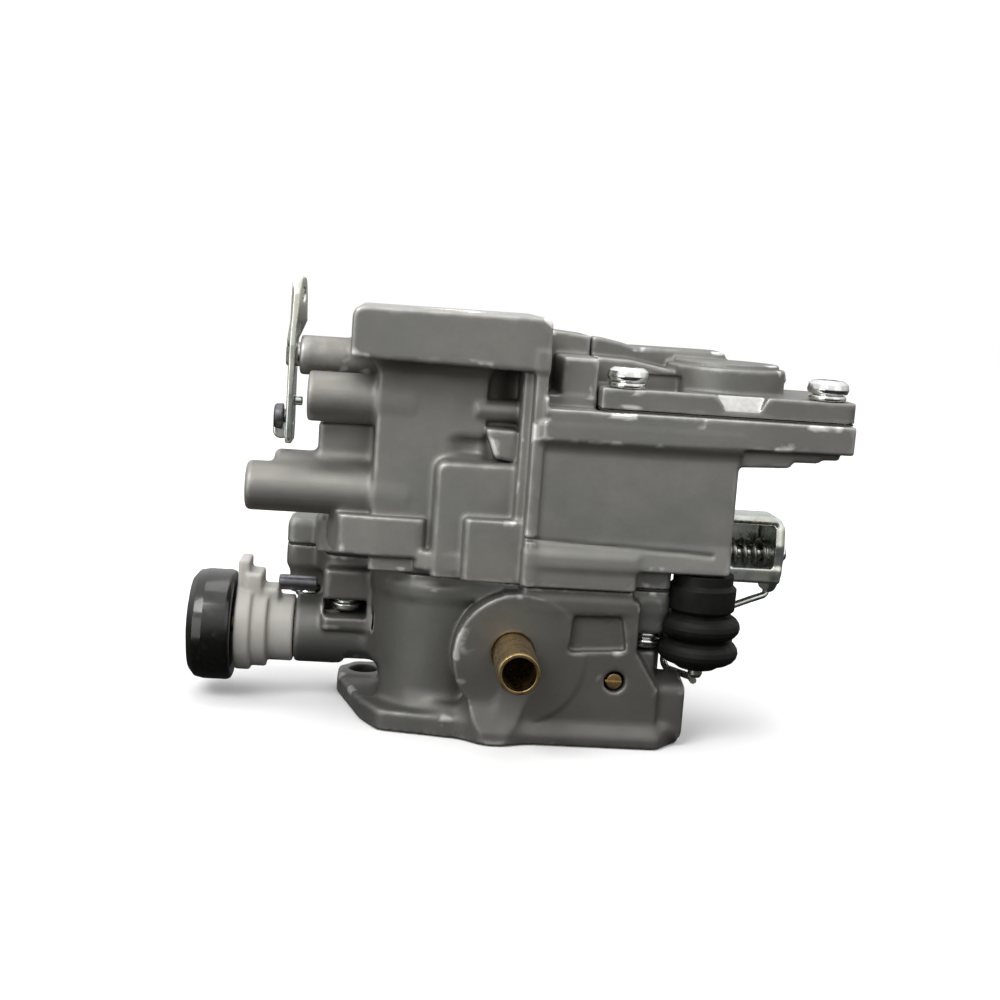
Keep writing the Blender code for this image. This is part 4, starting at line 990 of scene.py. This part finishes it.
# ---------------------------------------------------------------- choke side
def choke_lever(mat, stud):
    """Plated choke lever: bent plate with an eye at the top and a tab at the bottom."""
    z = CHOKE_Z
    s = Casting((-38.2, -6.4, 56), (-31, 6.6, 91.6), SMALL_STEP)
    side = outline([(-4.4, z - 18.4), (4.6, z - 18.4), (5.4, z - 15), (4.2, z - 6), (4.2, z + 2),
                    (3.0, z + 12.6), (1.6, z + 16.1), (-1.6, z + 16.1), (-3.0, z + 12.6), (-4.2, z + 2),
                    (-4.6, z - 8)], 1.2)
    rib = outline([(-2.4, z + 1), (2.4, z + 1), (2.2, z + 15.9), (-2.2, z + 15.9)], 1.8)
    s.add(slab("X", side, -34.6, -33.2, 0.35))
    s.add(slab("X", rib, -35.2, -33.4, 0.3), 0.6)
    s.add(slab("Y", rect(-37.8, -34.2, z - 18.3, z - 11.4, 1.7), 3.8, 5.2, 0.4), 0.8)
    s.add(rod("X", (-0.5, z - 9.6), (-34, -31.5), 1.0, 0.3), 0.2)
    s.cut(block((-40, -30), (-1.9, 1.9), (z - 2.6, z + 2.6), 0.1), 0.2)
    s.drill("X", (0, z + 12.4), (-40, -30), 1.4, 0.0, 0.3)
    s.drill("X", (-1.0, z - 13.0), (-40, -30), 1.5, 0.0, 0.2)
    ob = cast_mesh("look_choke_lever", s, 0.5)
    for v in ob.data.vertices:
        rise = min(max((v.co.z / MM - z - 3.0) / 4.0, 0), 1)  # the upper end is twisted
        v.co.x += (v.co.y + 4.2 * MM) * 0.22 * rise
    ob.data.materials.append(mat)
    place(ob, "choke", "choke_lever", "zinc_steel")
    profile = [(0, -2.2), (2.2, -2.2), (2.6, -1.8), (2.7, -0.3), (1.3, -0.2), (1.3, 0.8), (0, 0.8)]
    ob = revolve("look_choke_swivel", profile, (-35.0, -1.0, z - 13.0), "X", stud, 0.3, 40)
    place(ob, "choke_swivel", "choke_cable_swivel", "zinc_steel")


def choke_valve(shaft_mat, plate_mat, screw_mat):
    """Choke shaft and its upright plate with two screws."""
    z = CHOKE_Z
    profile = [(0, -35.3), (2.2, -35.3), (2.5, -35.0), (2.5, 13.9), (2.2, 14.2), (0, 14.2)]
    ob = revolve("look_choke_shaft", profile, (0, 0, z), "X", shaft_mat, 0.1, 40)
    spans = (((-BORE_R, BORE_R), (-5, 0)), ((-40, -32.9), (1.8, 5)), ((-40, -32.9), (-5, -1.8)))
    flats = [cutter(x, y, (z - 5, z + 5)) for x, y in spans]
    flats += [cutter((x - 0.9, x + 0.9), (-4, 1.7), (z - 0.9, z + 0.9)) for x in (-5, 5)]
    place(carve(ob, flats), "choke", "choke_shaft", "zinc_steel")
    butterfly("choke", "choke", z, "Y", -1, plate_mat, screw_mat)


def butterfly(name, body, z, axis, side, plate_mat, screw_mat):
    """A round valve plate with softened edges and its two screws."""
    loops = [ring_loop(0, 0, 11.0, 72)] + [ring_loop(x, 0, 1.05) for x in (-5, 5)]
    ob = plate(f"look_{name}_plate", loops, axis, (0.1, 1.0) if side > 0 else (-1.0, -0.1), plate_mat, 0.12)
    ob.data.transform(Matrix.Translation((0, 0, z * MM)))
    place(ob, body, f"{name}_plate", "brass")
    for i, x in enumerate((-5.0, 5.0)):
        profile = [(0, -1.6), (0.8, -1.6), (0.8, 1.05), (1.8, 1.05), (1.8, 1.4), (1.4, 1.75), (0, 1.75)]
        ob = revolve(f"look_{name}_plate_screw_{i + 1}", profile, (0, 0, 0), "Z", screw_mat, 0.12, 32)
        carve(ob, [cutter((-3, 3), (-0.2, 0.2), (1.35, 3))])
        spin = Matrix.Identity(4) if axis == "Z" else Matrix.Rotation(math.pi / 2, 4, "X")
        ob.data.transform(Matrix.Translation((x * MM, 0, z * MM)) @ spin)
        place(ob, body, f"{name}_plate_screw_{i + 1}", "zinc_steel")


# ---------------------------------------------------------------- throttle side
def throttle_side(plated, mat_brass, spring_mat, shaft_mat, plate_mat, screw_mat):
    """Shaft, butterfly, lever, nut, swivel and return spring."""
    z = THROTTLE_Z
    profile = [(0, -14.0), (2.7, -14.0), (3.0, -13.7), (3.0, 55.5), (2.2, 55.6), (2.2, 63.6),
               (1.9, 64.0), (0, 64.0)]
    ob = revolve("look_throttle_shaft", profile, (0, 0, z), "X", shaft_mat, 0.1, 40)
    cuts = [cutter((-BORE_R, BORE_R), (-5, 5), (z, z + 5))]
    cuts += [cutter((x - 0.9, x + 0.9), (-0.9, 0.9), (z - 2, z + 4)) for x in (-5, 5)]
    place(carve(ob, cuts), "throttle", "throttle_shaft", "zinc_steel")
    butterfly("throttle", "throttle", z, "Z", 1, plate_mat, screw_mat)
    side = [(-5.0, z - 3), (-3.4, z - 5.4), (2, z - 6), (6, z - 3.4), (13, z + 3.4), (20.2, z + 9.4),
            (21.4, z + 12.4), (19.8, z + 14.6), (16.6, z + 14.4), (9, z + 9.2), (2, z + 5.4), (-4, z + 3.6)]
    s = Casting((55.4, -6, z - 7), (60, 22, z + 15.4), SMALL_STEP * 1.2)
    s.add(slab("X", outline(side, 1.6), 56.0, 57.5, 0.3))
    s.add(rod("X", (0, z), (55.8, 59.4), 4.6, 0.4), 0.8)
    s.drill("X", (0, z), (50, 70), 2.3, 0.0, 0.2)
    s.drill("X", (9.0, z + 5.0), (50, 70), 1.9, 0.0, 0.2)
    formed("throttle_lever", s, 0.5, plated, "throttle", "zinc_steel")
    profile = [(2.3, 0), (3.7, 0), (4.0, 0.4), (4.0, 2.8), (3.6, 3.2), (2.3, 3.2)]
    ob = revolve("look_throttle_nut", profile, (59.7, 0, z), "X", plated, 0.0, 6, ring=True, angle=20)
    place(ob, "throttle", "throttle_nut", "zinc_steel")
    profile = [(0, -2.6), (2.7, -2.6), (3.0, -2.3), (3.0, -0.3), (1.6, -0.3), (1.6, 1.8), (1.3, 2.0),
               (0, 2.0)]
    ob = revolve("look_throttle_swivel", profile, (56.0, 9.0, z + 5.0), "X", mat_brass, 0.15, 40)
    carve(ob, [cutter((53.9, 54.9), (8.3, 9.7), (z - 5, z + 15))])
    place(ob, "throttle_swivel", "throttle_cable_swivel", "brass")
    ob = coil("look_throttle_spring", "X", (0, z), (50.3, 55.4), 3.9, 0.42, 4.0, spring_mat)
    place(ob, "castings", "throttle_spring", "zinc_steel")


# ---------------------------------------------------------------- accelerator pump
def pump(boot_mat, rod_mat, spring_mat):
    """Rubber boot, return spring and rod of the pump."""
    x, y = PUMP
    outer = [(1.7, 16.4), (3.9, 16.5)]
    for middle in (20.2, 25.5):
        for i in range(-4, 5):
            a = math.radians(20 * i)
            outer.append((5.0 + 3.4 * math.cos(a), middle + 2.65 * math.sin(a)))
    outer += [(6.2, 28.5), (6.9, 29.2), (7.0, 33.6), (6.2, 34.4), (6.2, 36.5)]
    inner = [(4.2, 36.5), (4.2, 28.8), (6.6, 26.0), (6.6, 25.4), (3.8, 23.4), (3.8, 22.6), (6.6, 20.8),
             (6.6, 20.0), (3.6, 18.4), (1.7, 17.6)]
    ob = revolve("look_pump_boot", outer + inner, (x, y, 0), "Z", boot_mat, 0.25, 64, ring=True, angle=60)
    stretch(ob, "pump_plunger", (x, y, 36.5), (x, y, 16.4), "pump_boot", "rubber")
    ob = coil("look_pump_spring", "Z", PUMP, (48.8, 67.6), 2.3, 0.3, 6.4, spring_mat)
    stretch(ob, "pump_plunger", (x, y, 67.6), (x, y, 48.8), "pump_spring", "zinc_steel")
    profile = [(0, 14.3), (1.1, 14.3), (1.5, 15.0), (1.5, 45.0), (0, 45.0)]
    ob = revolve("look_pump_rod", profile, (x, y, 0), "Z", rod_mat, 0.2, 32)
    place(ob, "pump_plunger", "pump_rod", "zinc_steel")


def pump_lever(plated, spring_mat, pin_mat):
    """Bent lever box with its torsion spring, pin and clip, and the arm that works the pump rod."""
    y, z = PIVOT
    side = [(y - 8.4, z + 3), (y - 7.4, z + 7.6), (y - 4, z + 8.6), (y + 7, z + 8.6), (y + 7, z - 2),
            (y + 3, z - 8.2), (y - 4, z - 8.2), (y - 8, z - 4)]
    s = Casting((60, y - 9.2, z - 9), (74.2, y + 7.6, z + 9), SMALL_STEP * 1.15)
    s.add(slab("X", outline(side, 2.2), 60.4, 73.8, 1.8))
    hollow = outline([(y - 14, z - 20), (y + 14, z - 20), (y + 14, z + 7.2), (y - 14, z + 7.2)])
    s.cut(slab("X", hollow, 61.8, 71.3, 0.8), 0.3)
    s.add(block((60.8, 73.2), (y - 8.3, y - 6.9), (z - 5.4, z - 1.9), 0.6), 0.8)
    s.add(block((60.8, 73.4), (y + 5.6, y + 6.9), (z - 7.4, z + 8), 0.5), 0.8)
    s.drill("X", (y, z), (50, 80), 1.9, 0.0, 0.2)
    formed("pump_lever", s, 0.55, plated, "pump_lever", "zinc_steel")
    profile = [(0, 50.8), (1.3, 50.8), (1.6, 51.1), (1.6, 75.6), (1.2, 76.0), (0, 76.0)]
    ob = revolve("look_pump_pin", profile, (0, y, z), "X", pin_mat, 0.1, 32)
    place(ob, "castings", "pump_lever_pin", "zinc_steel")
    profile = [(1.75, 74.1), (3.4, 74.1), (3.4, 74.9), (1.75, 74.9)]
    ob = revolve("look_pump_clip", profile, (0, y, z), "X", pin_mat, 0.12, 40, ring=True)
    place(ob, "castings", "pump_lever_clip", "zinc_steel")
    ob = coil("look_pump_lever_spring", "X", (y, z), (62.4, 71.8), 2.75, 0.5, 5.6, spring_mat)
    place(ob, "castings", "pump_lever_spring", "zinc_steel")
    path = [(72.6, 4.4, z - 5.6), (71.6, 3.4, z - 8.9), (68.0, 2.2, 27.6), (61.0, -2.6, 26.2),
            (49.4, -3.4, 26.2), (48.6, -4.2, 25.0), (48.6, -4.5, 14.4), (49.2, -5.4, 13.2),
            (53.2, -11.5, 13.2), (53.2, -14.6, 13.2)]
    ob = wire("look_pump_arm", path, 0.75, plated, 10, 1.4)
    place(ob, "pump_lever", "pump_arm", "zinc_steel")


# ---------------------------------------------------------------- adjusters and pipes
def adjusters(plated, mat_brass, spring_mat):
    """Idle stop screw with its spring, and the recessed mixture screw."""
    x, y = IDLE_SCREW
    profile = [(0, 34.5), (1.2, 34.5), (1.5, 34.9), (1.5, 48.6), (3.0, 48.6), (3.0, 50.9), (2.6, 51.4),
               (0, 51.4)]
    ob = revolve("look_idle_stop_screw", profile, (x, y, 0), "Z", plated, 0.2, 40)
    carve(ob, [cutter((50, 62), (16.8, 17.6), (50.3, 53))])
    place(ob, "idle_adjuster", "idle_stop_screw", "zinc_steel")
    ob = coil("look_idle_stop_spring", "Z", IDLE_SCREW, (44.2, 48.4), 2.2, 0.35, 3.6, spring_mat)
    place(ob, "castings", "idle_stop_spring", "zinc_steel")
    profile = [(0, -10.6), (0.9, -12.0), (0.9, -16.6), (1.75, -16.6), (1.75, -19.3), (1.5, -19.7),
               (0, -19.7)]
    ob = revolve("look_mixture_screw", profile, (MIXTURE[0], 0, MIXTURE[1]), "Y", mat_brass, 0.12, 40)
    carve(ob, [cutter((30, 40), (-21, -18.8), (13.35, 13.85))])
    place(ob, "mixture_adjuster", "mixture_screw", "brass")


def pipes(mat_brass, steel, dark):
    """Brass vacuum pipe, vent nipple and fuel inlet pipe."""
    profile = [(3.35, -36.2), (4.0, -36.2), (4.2, -35.7), (4.2, -13.4), (3.4, -13.4), (3.4, -35.6)]
    ob = revolve("look_vacuum_pipe", profile, (14.5, 0, 18.6), "Y", mat_brass, 0.1, 64, ring=True)
    place(ob, "castings", "vacuum_pipe", "brass")
    profile = [(0.8, -35.0), (1.45, -35.0), (1.7, -34.7), (1.7, -26.9), (0.8, -26.9)]
    ob = revolve("look_vent_nipple", profile, (0, *NIPPLE), "X", dark, 0.1, 40, ring=True)
    place(ob, "castings", "vent_nipple", "zinc_steel")
    profile = [(1.7, 9.4), (2.45, 9.4), (2.45, 15.0), (3.4, 15.2), (3.4, 16.4), (2.6, 16.6), (2.6, 24.6),
               (3.1, 25.2), (2.6, 26.6), (1.7, 26.6)]
    x, z = FUEL_PIPE
    ob = revolve("look_fuel_inlet_pipe", profile, (x, 0, z), "Y", steel, 0.2, 48, ring=True)
    place(ob, "castings", "fuel_inlet_pipe", "zinc_steel")


def starter(white, black, spring_mat):
    """Nylon housing with its tab, and the glossy black knob."""
    y, z = STARTER
    s = Casting((-44.4, y - 10.4, z - 10.4), (-20.8, y + 10.4, z + 16.2), SMALL_STEP * 1.5)
    s.add(rod("X", STARTER, (-43.8, -40.4), 9.6, 0.6))
    s.add(rod("X", STARTER, (-42, -37.0), 8.7, 0.5), 0.5)
    s.add(rod("X", STARTER, (-40, -31.4), 7.3, 0.5), 0.6)
    s.add(rod("X", STARTER, (-34, -21.6), 4.4, 0.3), 0.6)
    s.add(block((-43.7, -41.2), (y - 4.0, y + 4.0), (z, z + 15.3), 0.7), 0.9)
    s.add(block((-42, -38.4), (y - 4.6, y + 4.6), (z, z + 12.4), 0.8), 0.9)
    s.add(block((-42, -34.8), (y - 4.0, y + 4.0), (z, z + 9.2), 0.8), 0.9)
    s.drill("X", STARTER, (-50, -10), 1.9, 0.0, 0.2)
    s.drill("X", STARTER, (-40.6, -10), 3.4, 0.2, 0.3)
    formed("starter_housing", s, 0.5, white, "castings", "nylon")
    profile = [(0, -54.1), (7.0, -54.0), (10.0, -53.5), (11.6, -52.2), (12.0, -50.2), (12.0, -45.4),
               (11.7, -44.6), (11.0, -44.3), (1.9, -44.3), (1.9, -49.4), (0, -49.4)]
    ob = revolve("look_starter_knob", profile, (0, y, z), "X", black, 0.7, 96, angle=50)
    place(ob, "starter", "starter_knob", "black_plastic")
    ob = coil("look_starter_spring", "X", STARTER, (-40.4, -25.7), 2.6, 0.35, 5.4, spring_mat)
    stretch(ob, "starter", (-40.4, y, z), (-25.7, y, z), "starter_spring", "zinc_steel")


# ---------------------------------------------------------------- set
def camera():
    """The photograph's viewpoint."""
    yaw, pitch, roll = math.radians(4.5), math.radians(8.5), math.radians(4.0)
    ahead = Vector((math.sin(yaw) * math.cos(pitch), math.cos(yaw) * math.cos(pitch), -math.sin(pitch)))
    right = Vector((math.cos(yaw), -math.sin(yaw), 0))
    up = right.cross(ahead)
    across = right * math.cos(roll) + up * math.sin(roll)
    upward = up * math.cos(roll) - right * math.sin(roll)
    data = bpy.data.cameras.new("camera")
    data.lens = 50.94
    data.sensor_width = 36.0
    data.clip_start = 0.01
    ob = link(bpy.data.objects.new("camera", data))
    turned = Matrix((across, upward, -ahead)).transposed().to_4x4()
    ob.matrix_world = Matrix.Translation((-0.0122, -0.2982, 0.0915)) @ turned
    bpy.context.scene.camera = ob


def surround():
    """Grey surround that the metal reflects, brighter above."""
    world = bpy.data.worlds.new("studio")
    bpy.context.scene.world = world
    world.use_nodes = True
    nodes, links = world.node_tree.nodes, world.node_tree.links
    coords = nodes.new("ShaderNodeTexCoord")
    split = nodes.new("ShaderNodeSeparateXYZ")
    ramp = nodes.new("ShaderNodeValToRGB")
    spread = nodes.new("ShaderNodeMapRange")
    links.new(coords.outputs["Generated"], split.inputs[0])
    links.new(split.outputs["Z"], spread.inputs["Value"])
    spread.inputs["From Min"].default_value = -1.0
    links.new(spread.outputs["Result"], ramp.inputs["Fac"])
    stops = ramp.color_ramp.elements
    stops[0].position, stops[0].color = 0.28, (0.02, 0.02, 0.02, 1)
    stops[1].position, stops[1].color = 1.0, (1, 1, 1, 1)
    for position, level in ((0.42, 0.07), (0.50, 0.22), (0.60, 0.55), (0.75, 0.78)):
        stops.new(position).color = (level, level, level, 1)
    links.new(ramp.outputs["Color"], nodes["Background"].inputs["Color"])
    nodes["Background"].inputs["Strength"].default_value = 1.3


def backdrop():
    """Pale floor that takes the shadow, and a white dome that only the camera sees."""
    bm = bmesh.new()
    bmesh.ops.create_circle(bm, cap_ends=True, radius=7.0, segments=96)
    pale = Shader("floor", Metallic=0.0, Roughness=0.9)
    pale.colour(pale.mix(pale.noise(1.5), (0.93, 0.93, 0.93), (0.96, 0.96, 0.96)))
    floor = new_mesh("floor", bm, pale.mat)
    floor.location.z = -0.0002
    bm = bmesh.new()
    bmesh.ops.create_uvsphere(bm, u_segments=64, v_segments=32, radius=6.0)
    white = Shader("backdrop", Emission_Strength=1.0, Emission_Color=(1, 1, 1, 1))
    white.colour(white.mix(white.noise(0.5), (0.97, 0.97, 0.97), (1.0, 1.0, 1.0)))
    dome = new_mesh("backdrop", bm, white.mat)
    for ob in (floor, dome):
        ob.visible_diffuse = False
        ob.visible_glossy = False
    dome.visible_shadow = False


def lights():
    """Soft key from the upper left, a weak fill, a low light on the left and one from above."""
    for name, at, aim, size, power in (
        ("key", (-0.35, -0.45, 0.55), (0.01, 0, 0.04), 0.35, 3.0),
        ("fill", (0.5, -0.5, 0.25), (0.01, 0, 0.04), 0.5, 0.25),
        ("low_left", (-0.42, -0.42, 0.03), (-0.01, 0, 0.03), 0.4, 0.8),
        ("top", (0.05, 0.1, 0.8), (0.01, 0, 0.04), 0.5, 1.5),
    ):
        data = bpy.data.lights.new(name, "AREA")
        data.shape = "SQUARE"
        data.size = size
        data.energy = power
        ob = link(bpy.data.objects.new(name, data))
        ob.location = at
        ob.rotation_euler = (Vector(aim) - Vector(at)).to_track_quat("-Z", "Y").to_euler()


# ---------------------------------------------------------------- build
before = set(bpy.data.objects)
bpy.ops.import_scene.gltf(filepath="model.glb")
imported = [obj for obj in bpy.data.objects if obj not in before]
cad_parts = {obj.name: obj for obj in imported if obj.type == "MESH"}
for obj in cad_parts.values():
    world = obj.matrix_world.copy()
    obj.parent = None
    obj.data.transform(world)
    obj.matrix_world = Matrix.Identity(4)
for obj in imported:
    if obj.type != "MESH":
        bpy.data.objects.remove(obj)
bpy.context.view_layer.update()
SKIN = cast_skin("cast_skin")
# painted shade: the lower casting takes a darker copy of the same skin, for the light it gets less of
LOW_SKIN_SHADED = cast_skin("cast_skin_low_shaded", 0.58)
# painted shade: the cover takes a slightly darker copy of the same skin
LID_SKIN_SHADED = cast_skin("cast_skin_lid_shaded", 0.85)
FACED = machined("faced")
PLATED = zinc_plate("zinc_plate")
SCREW = blotched(
    "bright_screw", ((0.86, 0.87, 0.85), (0.60, 0.58, 0.52)), ((500, 4), 0.4, 0.7, 0.5),
    ((900, 4), 0.12, 0.24), ((1600, 3), 0.08, 0.00003), Metallic=1.0,
)
BRASS = brass("brass_aged")
SPRING = blotched(
    "spring_steel", ((0.40, 0.385, 0.34), (0.62, 0.61, 0.56)), ((350, 4), 0.3, 0.7, 1.0),
    ((700, 4), 0.22, 0.38), ((1500, 3), 0.1, 0.00003), Metallic=1.0,
)
DARK = blotched(
    "dark_steel", ((0.10, 0.10, 0.11), (0.20, 0.20, 0.205)), ((260, 4), 0.3, 0.7, 1.0),
    ((500, 4), 0.28, 0.46), ((900, 3), 0.12, 0.00005), Metallic=0.9,
)
RUBBER = blotched(
    "black_rubber", ((0.004, 0.004, 0.0035), (0.012, 0.012, 0.011)), ((240, 5, 0.6), 0.4, 0.75, 0.6),
    ((500, 4), 0.5, 0.68), ((900, 4), 0.2, 0.00006), Metallic=0.0, Specular_IOR_Level=0.2,
)
NYLON = blotched(
    "natural_nylon", ((0.42, 0.405, 0.37), (0.50, 0.49, 0.46)), ((90, 4), 0.35, 0.65, 1.0),
    ((260, 4), 0.34, 0.48), ((320, 3), 0.12, 0.0001), Metallic=0.0,
    Subsurface_Weight=0.55, Subsurface_Scale=0.004, Subsurface_Radius=(1.0, 0.9, 0.75),
)
MOULDED = blotched(
    "float_plastic", ((0.028, 0.025, 0.022), (0.05, 0.045, 0.04)), ((200, 4), 0.3, 0.7, 1.0),
    ((400, 4), 0.35, 0.5), ((700, 3), 0.15, 0.00006), Metallic=0.0,
)
main_casting(SKIN, FACED)
throttle_casting(LOW_SKIN_SHADED, FACED)
cover_casting(LID_SKIN_SHADED, FACED)
gasket_sheets(gasket_paper("gasket_paper"))
screws(SCREW)
choke_lever(PLATED, DARK)
choke_valve(SPRING, BRASS, SCREW)
throttle_side(PLATED, BRASS, SPRING, SPRING, BRASS, SCREW)
pump(RUBBER, SPRING, SPRING)
pump_lever(PLATED, SPRING, SCREW)
adjusters(PLATED, BRASS, SPRING)
pipes(BRASS, PLATED, DARK)
starter(NYLON, gloss_black("gloss_black"), SPRING)
INNER = {  # pieces out of sight keep their CAD shape and take a material
    "float": MOULDED, "float_pin": SPRING, "inlet_needle": BRASS,
    "needle_seat": BRASS, "float_bracket": BRASS, "main_jet": BRASS, "pilot_jet": BRASS,
    "main_nozzle": BRASS, "booster_venturi": SKIN, "pump_piston": RUBBER, "starter_plunger": BRASS,
}
for node, mat in INNER.items():
    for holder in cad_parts[node].material_slots:
        holder.material = mat
camera()
surround()
backdrop()
lights()
bpy.context.scene.view_settings.view_transform = "Standard"
